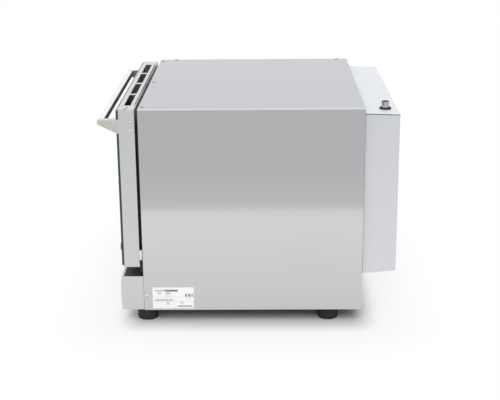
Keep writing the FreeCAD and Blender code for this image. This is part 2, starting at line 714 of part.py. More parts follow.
def rear_panel():
    """Back of the body, with openings for the motors, vent, cable and cooling air."""
    body = new_body()
    plate = box_loop(about("0", INSIDE), ("0", ROOF))
    pad(body, outline(body, "XZ_Plane", plate, shift=REAR_IN), "sheet", reverse=True)
    round_top_corners(body)
    holes = [(f"{side} * fan_side", CAVITY_MIDDLE, "motor_boss + loose_fit") for _, side in SIDES]
    holes.append(("vent_side", "vent_up", "vent_radius + loose_fit"))
    holes.append(("gland_side", "gland_up", "gland_radius + loose_fit"))
    pocket(body, circles(body, "XZ_Plane", *holes, shift=REAR_IN), "4 * sheet")
    first = "blower_up - grille_pitch * (grille_count - 1) / 2"
    slot = box_loop(about("blower_side", "grille_length / 2"), about(first, "grille_slot / 2"))
    row_of(body, pocket(body, outline(body, "XZ_Plane", slot, shift=REAR_IN), "4 * sheet"),
           "Z_Axis", "grille_count", "grille_pitch")
    seat("rear_panel", body)


def rear_cover():
    """Tapered hood over the motors, open towards the body, with two fields of cooling slots."""
    body = new_body()
    side = "(body_width / 2 - rear_inset)"
    near_end = box_loop(about("0", side), ("rear_low", "rear_high"))
    far_end = box_loop(about("0", f"{side} - rear_side_taper"),
                       ("rear_low + rear_low_taper", "rear_high - rear_top_taper"))
    loft = body.newObject("PartDesign::AdditiveLoft", "hood")
    loft.Profile = outline(body, "XZ_Plane", near_end, shift="body_depth")
    loft.Sections = [outline(body, "XZ_Plane", far_end, shift="body_depth + rear_depth")]
    loft.Ruled = True
    doc.recompute()
    open_face = [f"Face{n}" for n, face in enumerate(loft.Shape.Faces, start=1)
                 if near(face.CenterOfMass.y, "body_depth")]
    shell = body.newObject("PartDesign::Thickness", "shell")
    shell.Base = (loft, open_face)
    shell.Reversed = True
    shell.Join = "Intersection"
    tie(shell, "Value", "sheet")
    hole = circles(body, "XY_Plane", ("vent_side", "body_depth + vent_back", "vent_bore + loose_fit"),
                   shift="rear_high")
    pocket(body, hole, "8 * (sheet + rear_top_taper)")
    rows = [box_loop(about(f"{side} * fan_side", "louvre_length / 2"),
                     about("louvre_up", "louvre_width / 2")) for _, side in SIDES]
    row_of(body, pocket(body, outline(body, "XZ_Plane", *rows, shift="body_depth + rear_depth"),
                        "8 * sheet"), "Z_Axis", "louvre_count", "louvre_pitch")
    seat("rear_cover", body)


def feet():
    """Four rubber feet, each on a bolt through the base pan."""
    rubbers = []
    bolts = []
    for side, back in FEET:
        across = f"{side} * (body_width / 2 - foot_inset)"
        body = new_body()
        bore = "stud_radius + push_fit"
        profile = [
            ("0", "-foot_height"), ("foot_radius", "-foot_height"), ("foot_radius", "0"),
            (bore, "0"), (bore, "-stud_sink"), ("0", "-stud_sink"),
        ]
        revolve(body, outline(body, "XZ_Plane", profile), "Z_Axis")
        fillet(body, "foot_round", lambda edge: near(edge.BoundBox.ZMax, "-foot_height")
               and edge.Curve.TypeId == "Part::GeomCircle")
        tie(body, "Placement.Base.x", across)
        tie(body, "Placement.Base.y", back)
        rubbers.append(body)
        centre = (across, back)
        top = "sheet + nut_height"
        stem = rod("z", centre, ("-stud_sink", f"{top} + stud_radius"), "stud_radius")
        bolts.append(join(stem, nut("z", centre, ("sheet", top), "nut_radius")))
    seat("feet", group(*rubbers))
    seat("foot_bolts", group(*bolts))


# Oven chamber
def wall_holes():
    """Round holes in the liner's back: across, up, radius."""
    holes = [(f"{side} * fan_side", CAVITY_MIDDLE, "shaft_hole") for _, side in SIDES]
    holes.append(("vent_side", "vent_up", "vent_radius + loose_fit"))
    holes.append(("0", "probe_up", "probe_radius + loose_fit"))
    for _, side in SIDES:
        for leg in heater_legs():
            holes.append((f"{side} * fan_side + ({leg[0]})", leg[1], "heater_tube + loose_fit"))
    return holes


def cavity_liner():
    """Five-sided chamber with rounded long corners."""
    body = new_body()
    outer = box_loop(about("0", LINER_SIDE), ("cavity_floor - sheet", f"{CAVITY_TOP} + sheet"))
    pad(body, outline(body, "XZ_Plane", outer, shift="sheet"), "cavity_depth + sheet", reverse=True)
    inner = box_loop(about("0", CAVITY_SIDE), ("cavity_floor", CAVITY_TOP))
    pocket(body, outline(body, "XZ_Plane", inner, shift="sheet"), "2 * cavity_depth")
    for place, radius in ((CAVITY_SIDE, "liner_round"), (LINER_SIDE, "liner_round + sheet")):
        fillet(body, radius, lambda edge: runs_along(edge, Y_AXIS)
               and near(abs(edge.CenterOfMass.x), place))
    pocket(body, circles(body, "XZ_Plane", *wall_holes(), shift=LINER_BACK), "4 * sheet")
    lamp = circles(body, "YZ_Plane", ("lamp_back", "lamp_up", "lamp_radius - lamp_wall"),
                   shift=f"-{CAVITY_SIDE}")
    pocket(body, lamp, "4 * sheet")
    seat("cavity_liner", body)


def insulation_blanket():
    """Mineral wool round five sides of the liner, pierced where things pass through."""
    reach = f"({LINER_SIDE} + insulation)"
    wool = block(about("0", reach), ("sheet", f"{LINER_REAR} + insulation"),
                 ("cavity_floor - sheet - insulation", f"{CAVITY_TOP} + sheet + insulation"))
    room = block(about("0", LINER_SIDE), ("0", LINER_REAR),
                 ("cavity_floor - sheet", f"{CAVITY_TOP} + sheet"))
    through = (LINER_BACK, f"{LINER_REAR} + 2 * insulation")
    passages = [rod("y", (f"{side} * fan_side", CAVITY_MIDDLE), through, "seal_radius + loose_fit")
                for _, side in SIDES]
    passages.append(rod("y", ("vent_side", "vent_up"), through, "vent_radius + loose_fit"))
    passages.append(rod("y", ("0", "probe_up"), through, "probe_nut + loose_fit"))
    passages.append(rod("y", ("0", "limit_up"), through, "limit_radius + loose_fit"))
    for _, side in SIDES:
        for across, up in heater_legs():
            place = (f"{side} * fan_side + ({across})", up)
            passages.append(rod("y", place, through, "heater_tube + loose_fit"))
    lamp_way = (f"-{LINER_SIDE} - 2 * insulation", f"-{CAVITY_SIDE}")
    passages.append(rod("x", ("lamp_back", "lamp_up"), lamp_way, "lamp_glass_radius + loose_fit"))
    seat("insulation_blanket", cut(wool, room, *passages))


def door_gasket():
    """Rubber bead round the cavity's mouth that the closed door rests on."""
    body = new_body()
    side = f"({CAVITY_SIDE} + gasket_margin)"
    low = "(cavity_floor - gasket_margin_low)"
    high = f"({CAVITY_TOP} + gasket_margin_low)"
    bead = "door_gap - loose_fit"
    outer = box_loop(about("0", f"{side} + gasket_width"),
                     (f"{low} - gasket_width", f"{high} + gasket_width"))
    pad(body, outline(body, "XZ_Plane", outer), bead)
    fillet(body, "gasket_corner + gasket_width", lambda edge: runs_along(edge, Y_AXIS))
    pocket(body, outline(body, "XZ_Plane", box_loop(about("0", side), (low, high))), "4 * door_gap")
    fillet(body, "gasket_corner", lambda edge: runs_along(edge, Y_AXIS)
           and near(abs(edge.CenterOfMass.x), side))
    fillet(body, "gasket_round", lambda edge: near(edge.BoundBox.YMax, f"-({bead})"))
    seat("door_gasket", body)


def tray_racks():
    """Wire racks that stand on the cavity's floor and bear on its sides."""
    for name, side in SIDES:
        post = f"{side} * ({CAVITY_SIDE} - rack_wall)"
        runner = f"{side} * ({CAVITY_SIDE} - rack_runner)"
        wires = []
        for back in ("rack_front", "rack_rear"):
            wires.append(rod("z", (post, back), ("cavity_floor", "cavity_floor + rack_top"), "rack_post"))
            for rise in ("rack_first / 2", "rack_top - rack_first / 2"):
                wall = mirrored(side, f"{CAVITY_SIDE} - rack_wall", CAVITY_SIDE)
                wires.append(rod("x", (back, f"cavity_floor + {rise}"), wall, "rack_link"))
        for level in range(int(size("rack_levels"))):
            up = f"cavity_floor + rack_first + {level} * rack_pitch"
            span = ("rack_front - rack_post", "rack_rear + rack_post")
            wires.append(rod("y", (runner, up), span, "rack_wire"))
            for back in ("rack_front", "rack_rear"):
                reach = mirrored(side, f"{CAVITY_SIDE} - rack_runner", f"{CAVITY_SIDE} - rack_wall")
                wires.append(rod("x", (back, up), reach, "rack_link"))
        seat(f"tray_rack_{name}", join(*wires))


def fan_baffle():
    """Plate in front of the fans, slotted before each wheel, on four posts."""
    body = new_body()
    plate = box_loop(about("0", "baffle_width / 2"), about(CAVITY_MIDDLE, "baffle_height / 2"))
    pad(body, outline(body, "XZ_Plane", plate, shift="baffle_back"), "sheet", reverse=True)
    first = f"{CAVITY_MIDDLE} - baffle_slot_rise * (baffle_slot_rows - 1) / 2"
    slots = []
    for _, side in SIDES:
        start = f"{side} * fan_side - baffle_slot_pitch * (baffle_slot_columns - 1) / 2"
        slots.append(box_loop(about(start, "baffle_slot_width / 2"), about(first, "baffle_slot_height / 2")))
    opening = pocket(body, outline(body, "XZ_Plane", *slots, shift="baffle_back"), "4 * sheet")
    row_of(body, opening, "X_Axis", "baffle_slot_columns", "baffle_slot_pitch",
           "Z_Axis", "baffle_slot_rows", "baffle_slot_rise")
    seat("fan_baffle", body)
    posts = [rod("y", (f"{side} * post_side", f"{CAVITY_MIDDLE} + {end} * post_rise"),
                 ("baffle_back + sheet", LINER_BACK), "post_radius")
             for _, side in SIDES for end in (-1, 1)]
    seat("baffle_posts", group(*posts))


# Fans, heaters and what passes through the liner
def fan_wheel(name, side):
    """Radial wheel: back plate, hub and straight blades that work in both directions."""
    body = new_body()
    bore = "shaft_radius + push_fit"
    plate = "fan_depth - fan_disc"
    profile = [
        (bore, "0"), ("fan_hub", "0"), ("fan_hub", plate), ("fan_radius", plate),
        ("fan_radius", "fan_depth"), (bore, "fan_depth"),
    ]
    revolve(body, outline(body, "XY_Plane", profile), "Y_Axis")
    blade = box_loop(("fan_eye", "fan_radius"), ("0", f"{plate} + fan_disc / 2"))
    ring_of(body, pad(body, outline(body, "XY_Plane", blade), "fan_blade", both=True),
            "Y_Axis", "fan_blade_count")
    seat(f"fan_wheel_{name}", body, f"{side} * fan_side", WHEEL_FRONT, CAVITY_MIDDLE)


def motor(name, side):
    """Motor on the rear panel: plate, round housing, front and back bosses and a shaft bore."""
    body = new_body()
    bore = "shaft_radius + running_fit"
    back = "motor_flange_depth + motor_length"
    profile = [
        (bore, "-motor_boss_depth"), ("motor_boss", "-motor_boss_depth"), ("motor_boss", "0"),
        ("motor_flange", "0"), ("motor_flange", "motor_flange_depth"),
        ("motor_radius", "motor_flange_depth"), ("motor_radius", back), ("motor_boss", back),
        ("motor_boss", f"{back} + motor_boss_depth"), ("0", f"{back} + motor_boss_depth"),
        ("0", back), (bore, back),
    ]
    revolve(body, outline(body, "XY_Plane", profile), "Y_Axis")
    seat(f"motor_{name}", body, f"{side} * fan_side", "body_depth", CAVITY_MIDDLE)
    shaft = rod("y", (f"{side} * fan_side", CAVITY_MIDDLE),
                (WHEEL_FRONT, f"body_depth + {back} - loose_fit"), "shaft_radius")
    seat(f"motor_shaft_{name}", join(shaft, nut("y", (f"{side} * fan_side", CAVITY_MIDDLE),
         (f"{WHEEL_FRONT} - nut_height", WHEEL_FRONT), "fan_hub - push_fit")))


def shaft_seals():
    """Plates on the liner's back that close the holes round the shafts."""
    plates = []
    for _, side in SIDES:
        centre = (f"{side} * fan_side", CAVITY_MIDDLE)
        span = (LINER_REAR, f"{LINER_REAR} + seal_depth")
        plates.append(cut(rod("y", centre, span, "seal_radius"),
                          rod("y", centre, span, "shaft_radius + running_fit")))
    seat("shaft_seals", group(*plates))


def heater_legs():
    """Two places, from the fan's axis across and from the underside up, where a ring's legs run back."""
    angle = "(heater_gap)"
    across = f"(heater_radius * sin{angle} - heater_turn * cos{angle})"
    drop = f"(heater_radius * cos{angle} + heater_turn * sin{angle})"
    return [(f"{sign} * {across}", f"{CAVITY_MIDDLE} - {drop}") for sign in (1, -1)]


def heating_ring(name, side):
    """Tube bent into an open ring round the wheel, both ends turned back through the liner."""
    radius = size("heater_radius")
    turn = size("heater_turn")
    gap = math.radians(size("heater_gap"))
    ring_back = size(f"{LINER_BACK} - heater_forward")
    tail = size(f"{LINER_REAR} + heater_tail")
    middle = FreeCAD.Vector(size(f"{side} * fan_side"), ring_back, size(CAVITY_MIDDLE))
    backward = FreeCAD.Vector(0, 1, 0)

    def at(angle):
        return middle + FreeCAD.Vector(math.sin(angle), 0, -math.cos(angle)) * radius

    def heading(angle):
        return FreeCAD.Vector(math.cos(angle), 0, math.sin(angle))

    def leg(angle, away):
        """Straight leg and the quarter turn that joins it to the ring's end."""
        pivot = at(angle) + backward * turn
        start = pivot + heading(angle) * (away * turn)
        halfway = pivot + (heading(angle) * away - backward) * (turn / math.sqrt(2))
        straight = Part.LineSegment(FreeCAD.Vector(start.x, tail, start.z), start)
        return straight, Part.Arc(start, halfway, at(angle))

    first, first_turn = leg(gap, -1)
    last, last_turn = leg(2 * math.pi - gap, 1)
    ring = Part.Arc(at(gap), at(math.pi), at(2 * math.pi - gap))
    runs = [item.toShape() for item in (first, first_turn, ring, last_turn, last)]
    path = Part.Wire(Part.__sortEdges__(runs))
    section = Part.Wire(Part.makeCircle(size("heater_tube"), first.StartPoint, backward))
    tube = doc.addObject("Part::Feature", "heater")
    tube.Shape = path.makePipeShell([section], True, False)
    seat(f"heating_ring_{name}", tube)


def oven_lamp():
    """Lamp in the left side of the chamber: holder, capsule and cover glass."""
    centre = ("lamp_back", "lamp_up")
    wall = f"-{LINER_SIDE}"
    cup = rod("x", centre, (f"{wall} - lamp_depth", wall), "lamp_radius")
    room = rod("x", centre, (f"{wall} - lamp_depth + 2 * lamp_wall", wall), "lamp_radius - lamp_wall")
    seat("lamp_holder", cut(cup, room))
    foot = f"{wall} - lamp_depth + 2 * lamp_wall"
    seat("lamp_bulb", group(rod("x", centre, (foot, f"{foot} + bulb_length"), "bulb_radius")))
    body = new_body()
    profile = [
        ("0", "0"), ("lamp_glass_radius", "0"), ("lamp_glass_radius", "lamp_wall"),
        ("lamp_glass_radius - lamp_glass_depth", "lamp_glass_depth"), ("0", "lamp_glass_depth"),
    ]
    revolve(body, outline(body, "XY_Plane", [(up, across) for across, up in profile]), "X_Axis")
    seat("lamp_glass", body, f"-{CAVITY_SIDE}", *centre)


def sensors():
    """Probe in the chamber and limit thermostat on the liner's back."""
    centre = ("0", "probe_up")
    tip = rod("y", centre, (f"{LINER_BACK} - probe_length", f"{LINER_REAR} + probe_tail"), "probe_radius")
    clamp = nut("y", centre, (LINER_REAR, f"{LINER_REAR} + probe_nut_depth"), "probe_nut")
    seat("temperature_probe", join(tip, clamp))
    centre = ("0", "limit_up")
    can = rod("y", centre, (LINER_REAR, f"{LINER_REAR} + limit_depth"), "limit_radius")
    seat("limit_thermostat", group(can))


def vent_pipe():
    """Pipe from the chamber's back that turns up to just below the motor cover's top."""
    body = new_body()
    back = "(body_depth + vent_back)"
    spine = sketch_on(body, "YZ_Plane", "vent_side")
    corner = (size(back), size("vent_up"))
    turn = size("vent_turn")
    start = FreeCAD.Vector(corner[0], size(PIPE_TOP), 0)
    bend_top = FreeCAD.Vector(corner[0], corner[1] + turn, 0)
    bend_end = FreeCAD.Vector(corner[0] - turn, corner[1], 0)
    finish = FreeCAD.Vector(size(LINER_BACK), corner[1], 0)
    pivot = FreeCAD.Vector(corner[0] - turn, corner[1] + turn, 0)
    quarter = Part.ArcOfCircle(Part.Circle(pivot, FreeCAD.Vector(0, 0, 1), turn), 1.5 * math.pi, 2 * math.pi)
    for item in (Part.LineSegment(start, bend_top), quarter, Part.LineSegment(bend_end, finish)):
        spine.addGeometry(item)
    for rule in (("Tangent", 0, 2, 1, 2), ("Tangent", 1, 1, 2, 1), ("Vertical", 0), ("Horizontal", 2)):
        spine.addConstraint(Sketcher.Constraint(*rule))
    number = spine.addConstraint(Sketcher.Constraint("Radius", 1, turn))
    tie(spine, f"Constraints[{number}]", "vent_turn")
    pin_point(spine, 0, 1, back, PIPE_TOP)
    pin_point(spine, 2, 2, LINER_BACK, "vent_up")
    ends = [("vent_side", back, "vent_radius"), ("vent_side", back, "vent_bore")]
    pipe = body.newObject("PartDesign::AdditivePipe", "pipe")
    pipe.Profile = circles(body, "XY_Plane", *ends, shift=PIPE_TOP)
    pipe.Spine = (spine, ["Edge1", "Edge2", "Edge3"])
    seat("vent_pipe", body)


def vent_stub():
    """Shouldered stub in the pipe's end, on a washer that evens out the cover's sloping top."""
    back = "(body_depth + vent_back)"
    body = new_body()
    spigot = "vent_bore - push_fit"
    profile = [
        ("stub_bore", "-vent_spigot"), (spigot, "-vent_spigot"), (spigot, "0"), ("vent_radius", "0"),
        ("vent_radius", "vent_rise - washer_height"), ("stub_bore", "vent_rise - washer_height"),
    ]
    revolve(body, outline(body, "XZ_Plane", profile), "Z_Axis")
    seat("vent_stub", body, "vent_side", back, f"{COVER_TOP} + washer_height")
    centre = ("0", "0")
    tall = ("-washer_height", "washer_height")
    ring = cut(rod("z", centre, tall, "washer_radius"), rod("z", centre, tall, "vent_bore + loose_fit"))
    reach = about("0", "2 * washer_radius")
    slope = group(block(reach, reach, ("-2 * washer_height", "0")))
    slope.Placement = FreeCAD.Placement(FreeCAD.Vector(), FreeCAD.Rotation(-X_AXIS, 1))
    tie(slope, "Placement.Rotation.Angle", "atan(rear_top_taper / rear_depth)")
    seat("vent_washer", cut(ring, slope), "vent_side", back, COVER_TOP)


# Electrics
def cable_gland():
    """Gland in the rear panel: nut inside, nut and domed cap outside, bored through."""
    centre = ("gland_side", "gland_up")
    inner = nut("y", centre, (f"{REAR_IN} - gland_nut_depth", REAR_IN), "gland_nut")
    thread = rod("y", centre, (f"{REAR_IN} - gland_nut_depth", "body_depth"), "gland_radius")
    outer = nut("y", centre, ("body_depth", "body_depth + gland_nut_depth"), "gland_nut")
    tip = "body_depth + gland_nut_depth + gland_dome_depth"
    dome = rod("y", centre, ("body_depth + gland_nut_depth", tip), "gland_dome")
    bore = rod("y", centre, (f"{REAR_IN} - 2 * gland_nut_depth", f"{tip} + gland_bore"), "gland_bore")
    seat("cable_gland", cut(join(inner, thread, outer, dome), bore))


def electronics():
    """Power board on spacers and terminal block, both on the base pan."""
    back = ("power_back", "power_back + power_width")
    top = "(sheet + board_lift + board)"
    plate = block(about("0", "power_length / 2"), back, ("sheet + board_lift", top))
    corner = "(power_length / 2 - 2 * spacer_radius)"
    legs = [rod("z", (f"{side} * {corner}", place), ("sheet", "sheet + board_lift"), "spacer_radius")
            for side in (-1, 1)
            for place in (f"{back[0]} + 2 * spacer_radius", f"{back[1]} - 2 * spacer_radius")]
    relays = [block(about(f"{step} * power_length / 5", "power_length / 14"),
                    about("power_back + power_width / 3", "power_width / 7"), (top, f"{top} + relay_height"))
              for step in (-2, -1, 0, 1, 2)]
    coil = block(about("power_length / 4", "power_length / 8"),
                 about("power_back + 3 * power_width / 4", "power_width / 6"),
                 (top, f"{top} + 1.5 * relay_height"))
    seat("power_board", join(plate, *legs, *relays, coil))
    ways = ("terminal_back", "terminal_back + terminal_width")
    base = block(about("gland_side", "terminal_length / 2"), ways, ("sheet", "sheet + terminal_height / 2"))
    ribs = [block(about(f"gland_side + {step} * terminal_length / 4", "sheet"), ways,
                  ("sheet + terminal_height / 2", "sheet + terminal_height")) for step in (-1, 0, 1)]
    seat("terminal_block", join(base, *ribs))


def cooling_fan():
    """Small fan behind slots in the rear panel: frame with four arms, and its rotor."""
    centre = ("blower_side", "blower_up")
    half = "blower_width / 2"
    across = about(centre[0], half)
    up = about(centre[1], half)
    span = (BLOWER_FRONT, REAR_IN)
    ring = cut(block(across, span, up), rod("y", centre, span, "blower_bore"))
    arm_span = (f"{REAR_IN} - blower_seat_depth", REAR_IN)
    plate = rod("y", centre, arm_span, "blower_seat")
    arms = [block(about(centre[0], "blower_arm / 2"), arm_span, up),
            block(across, arm_span, about(centre[1], "blower_arm / 2"))]
    pin_end = f"{REAR_IN} - blower_seat_depth - blower_hub_depth + 2 * blower_pin"
    pin = rod("y", centre, (pin_end, arm_span[0]), "blower_pin")
    seat("cooling_fan_frame", join(ring, plate, *arms, pin))
    hub_span = ("-loose_fit - blower_hub_depth", "-loose_fit")
    middle = ("0", "0")
    hub = rod("y", middle, hub_span, "blower_hub")
    blades = []
    count = int(size("blower_blade_count"))
    for step in range(count):
        flat = group(block(("blower_hub - blower_blade", "blower_tip"),
                           about("0", "blower_blade_width / 2"), about("0", "blower_blade / 2")))
        tilt = FreeCAD.Rotation(X_AXIS, size("blower_pitch"))
        turn = FreeCAD.Rotation(Y_AXIS, 360 * step / count)
        flat.Placement = FreeCAD.Placement(FreeCAD.Vector(), turn.multiply(tilt))
        tie(flat, "Placement.Base.y", "-loose_fit - blower_hub_depth / 2")
        blades.append(flat)
    bore = rod("y", middle, ("-loose_fit - blower_hub_depth + blower_pin", "0"), "blower_pin + running_fit")
    seat("cooling_fan_rotor", cut(join(hub, *blades), bore),
         centre[0], f"{REAR_IN} - blower_seat_depth", centre[1])


# Control panel
def bowed(piece, inward="0"):
    """What of a piece lies behind the panel's bowed front, or behind a like surface deeper in."""
    axis = ("panel_crown - panel_depth", "panel_height / 2")
    span = about("0", "body_width")
    return shared(piece, rod("x", axis, span, f"panel_crown - ({inward})"))


def control_panel():
    """Bowed front with folded lips, flat ends and a dark cover on top."""
    cheek = f"({PANEL_SIDE} - sheet)"
    deep = ("-panel_depth", "0")
    outer = bowed(block(about("0", cheek), deep, ("0", "panel_height")))
    inner = bowed(block(about("0", PANEL_SIDE), ("-panel_depth", "flange"),
                        ("sheet", "panel_height - sheet")), "sheet")
    edge = "-(panel_depth - panel_crown + sqrt(panel_crown^2 - (panel_height / 2)^2) - panel_lip)"
    open_top = block(about("0", PANEL_SIDE), (edge, "flange"), ("panel_height / 2", "2 * panel_height"))
    open_floor = block(about("0", PANEL_SIDE), (edge, "flange"), ("-panel_height", "panel_height / 2"))
    through = ("-2 * panel_depth", "0")
    holes = [rod("y", (across, "control_up"), through, "button_radius + loose_fit") for _, across in BUTTONS]
    holes.append(rod("y", ("dial_side", "control_up"), through, "dial_hole"))
    holes.append(block(about("display_middle", "display_width / 2 + loose_fit"), through,
                       about("control_up", "display_height / 2 + loose_fit")))
    seat("panel_fascia", cut(outer, inner, open_top, open_floor, *holes))
    ends = [bowed(block(mirrored(side, cheek, PANEL_SIDE), deep, ("0", "panel_height"))) for _, side in SIDES]
    seat("panel_end_caps", group(*ends))
    level = ("panel_height - 2 * sheet", "panel_height - sheet")
    front = f"{edge} - panel_lip / 2"
    seat("panel_top_cover", group(block(about("0", cheek), (front, "flange"), level)))
    window = block(about("display_middle", "display_width / 2"),
                   ("-panel_depth - display_proud", "-panel_depth - display_proud + display_depth"),
                   about("control_up", "display_height / 2"))
    seat("display_lens", bowed(window, "-display_proud"))


def control_board():
    """Board on the base pan behind the panel, with display, switches and the dial's encoder."""
    front = "-control_back - board"
    plate = block(about("0", "control_half"), (front, "-control_back"), ("sheet", "control_height"))
    screen = block(about("display_middle", "display_width / 2"),
                   ("-panel_depth - display_proud + display_depth", front),
                   about("control_up", "display_height / 2"))
    stem_end = f"(-{PANEL_WALL} + panel_lip + button_travel + loose_fit)"
    switches = [block(about(across, "switch_half"), (stem_end, front), about("control_up", "switch_half"))
                for _, across in BUTTONS]
    encoder = block(about("dial_side", "encoder_half"), (f"{front} - encoder_depth", front),
                    about("control_up", "encoder_half"))
    bore = rod("y", ("dial_side", "control_up"), (f"{front} - 2 * encoder_depth", front),
               "dial_shaft + running_fit")
    seat("control_board", cut(join(plate, screen, *switches, encoder), bore))


def push_buttons():
    """Caps in the panel's holes, each with a collar and a stem behind."""
    wall = f"-{PANEL_WALL}"
    for name, across in BUTTONS:
        centre = (across, "control_up")
        collar = f"({wall} + loose_fit + sheet / 2)"
        cap = rod("y", centre, ("-panel_depth - button_proud", collar), "button_radius")
        rim = rod("y", centre, (collar, f"{collar} + button_collar_depth"), "button_collar")
        stem = rod("y", centre, (collar, f"{wall} + panel_lip"), "button_stem")
        seat(name, join(cap, rim, stem))


def dial():
    """Tapered dial with grip grooves on a shaft into the encoder."""
    body = new_body()
    front = "-dial_depth"
    shaft_end = "dial_room + panel_depth - control_back - board - loose_fit"
    profile = [
        ("0", front), ("dial_radius - dial_taper", front), ("dial_radius", "0"),
        ("dial_shaft", "0"), ("dial_shaft", shaft_end), ("0", shaft_end),
    ]
    revolve(body, outline(body, "XY_Plane", profile), "Y_Axis")
    groove = pocket(body, circles(body, "XZ_Plane", ("dial_radius", "0", "dial_groove"), shift=front),
                    "2 * (dial_depth - dial_groove)")
    ring_of(body, groove, "Y_Axis", "dial_groove_count")
    seat("dial_knob", body, "dial_side", "-panel_depth - dial_room", "control_up")


# Door
def glass_bolts():
    """Places where bolts pass through the outer glass into the handle: across and up."""
    across = f"({GLASS_SIDE} - bracket_width / 2)"
    return [(f"{side} * {across}", f"handle_bolt_up + {step} * handle_bolt_pitch")
            for _, side in SIDES for step in (0, 1)]


def cap_places():
    return [(f"{side} * cap_side", "cap_up") for _, side in SIDES]


def door_shell():
    """Folded shell: window behind, rim in front, vent slots above and below, notches for the hinges."""
    depth = (f"-{DOOR_FRONT}", "-door_gap")
    outer = block(about("0", DOOR_SIDE), depth, ("door_bottom", DOOR_TOP))
    room = block(about("0", f"{DOOR_SIDE} - sheet"), (f"-{DOOR_FRONT} + sheet", "-door_gap - sheet"),
                 ("door_bottom + sheet", f"{DOOR_TOP} - sheet"))
    half_way = "-door_gap - door_depth / 2"
    front = block(about("0", f"{DOOR_SIDE} - door_rim"), (f"-{DOOR_FRONT} - sheet", half_way),
                  ("door_bottom + door_low_rim", f"{DOOR_TOP} - door_rim"))
    window = block(about("0", "window_width / 2"), (half_way, "0"),
                   (WINDOW_LOW, f"{WINDOW_LOW} + window_height"))
    cuts = [room, front, window]
    count = int(size("door_slot_count"))
    for step in range(count):
        middle = f"{step - (count - 1) / 2} * (door_slot_length + door_slot_gap)"
        cuts.append(block(about(middle, "door_slot_length / 2"),
                          about("-door_slot_forward", "door_slot_width / 2"),
                          ("door_bottom - sheet", f"{DOOR_TOP} + sheet")))
    vents = "(door_slot_count * (door_slot_length + door_slot_gap) - door_slot_gap)"
    cuts.append(block(about("0", f"{vents} / 2"), ("-door_gap - sheet - door_seam", "-door_gap - sheet"),
                      (f"{DOOR_TOP} - 2 * sheet", f"{DOOR_TOP} + sheet")))
    for _, side in SIDES:
        cuts.append(block(about(f"{side} * {HINGE_SIDE}", SLOT_HALF), ("-hinge_forward - hinge_notch", "0"),
                          ("door_bottom - sheet", "hinge_up + hinge_notch")))
    sink = (f"-{DOOR_FRONT} - sheet", half_way)
    cuts += [rod("y", place, sink, "handle_bolt + loose_fit") for place in glass_bolts()]
    cuts += [rod("y", place, sink, "cap_stud + loose_fit") for place in cap_places()]
    cuts += [rod("x", place, about("0", "body_width / 2"), SCREW_HOLE) for place in DOOR_SCREWS]
    seat("door_shell", cut(outer, *cuts))


def door_glass():
    """Outer glass over the shell's front and inner glass behind its window, held by clips."""
    body = new_body()
    pane = box_loop(about("0", GLASS_SIDE), ("door_bottom + glass_low_inset", f"{DOOR_TOP} - glass_inset"))
    pad(body, outline(body, "XZ_Plane", pane, shift=f"-{DOOR_FRONT}"), "glass_thickness")
    fillet(body, "glass_corner", lambda edge: runs_along(edge, Y_AXIS))
    holes = [(*place, "handle_bolt + loose_fit") for place in glass_bolts()]
    holes += [(*place, "cap_stud + loose_fit") for place in cap_places()]
    pocket(body, circles(body, "XZ_Plane", *holes, shift=f"-{DOOR_FRONT}"), "4 * glass_thickness")
    seat("outer_glass", body)
    skin = "(door_gap + sheet)"
    lap = (f"{WINDOW_LOW} - inner_glass_lap", f"{WINDOW_LOW} + window_height + inner_glass_lap")
    seat("inner_glass", group(block(about("0", "window_width / 2 + inner_glass_lap"),
                                    (f"-{skin} - inner_glass_thickness", f"-{skin}"), lap)))
    clips = []
    for edge, outward in ((lap[0], -1), (lap[1], 1)):
        for _, side in SIDES:
            width = about(f"{side} * clip_spread", "clip_width / 2")
            near_end = f"{edge} + {outward} * loose_fit"
            far_end = f"{edge} + {outward} * (loose_fit + clip_reach)"
            over = f"{edge} - {outward} * clip_reach"
            face = f"-{skin} - inner_glass_thickness"
            foot = block(width, (face, f"-{skin}"), sorted((near_end, far_end), key=size))
            tongue = block(width, (f"{face} - sheet", face), sorted((over, far_end), key=size))
            clips.append(join(foot, tongue))
    seat("inner_glass_clips", group(*clips))


def glass_caps():
    """Round caps in front of the outer glass, their studs through it and the shell's rim."""
    caps = []
    for across, up in cap_places():
        body = new_body()
        stud_end = "glass_thickness + sheet + cap_stud"
        profile = [
            ("0", "-cap_height"), ("cap_radius", "-cap_height"), ("cap_radius", "0"),
            ("cap_stud", "0"), ("cap_stud", stud_end), ("0", stud_end),
        ]
        revolve(body, outline(body, "XY_Plane", profile), "Y_Axis")
        fillet(body, "cap_round", lambda edge: near(edge.BoundBox.YMax, "-cap_height")
               and edge.Curve.TypeId == "Part::GeomCircle")
        tie(body, "Placement.Base.x", across)
        tie(body, "Placement.Base.y", f"-{GLASS_FRONT}")
        tie(body, "Placement.Base.z", up)
        caps.append(body)
    seat("glass_caps", group(*caps))


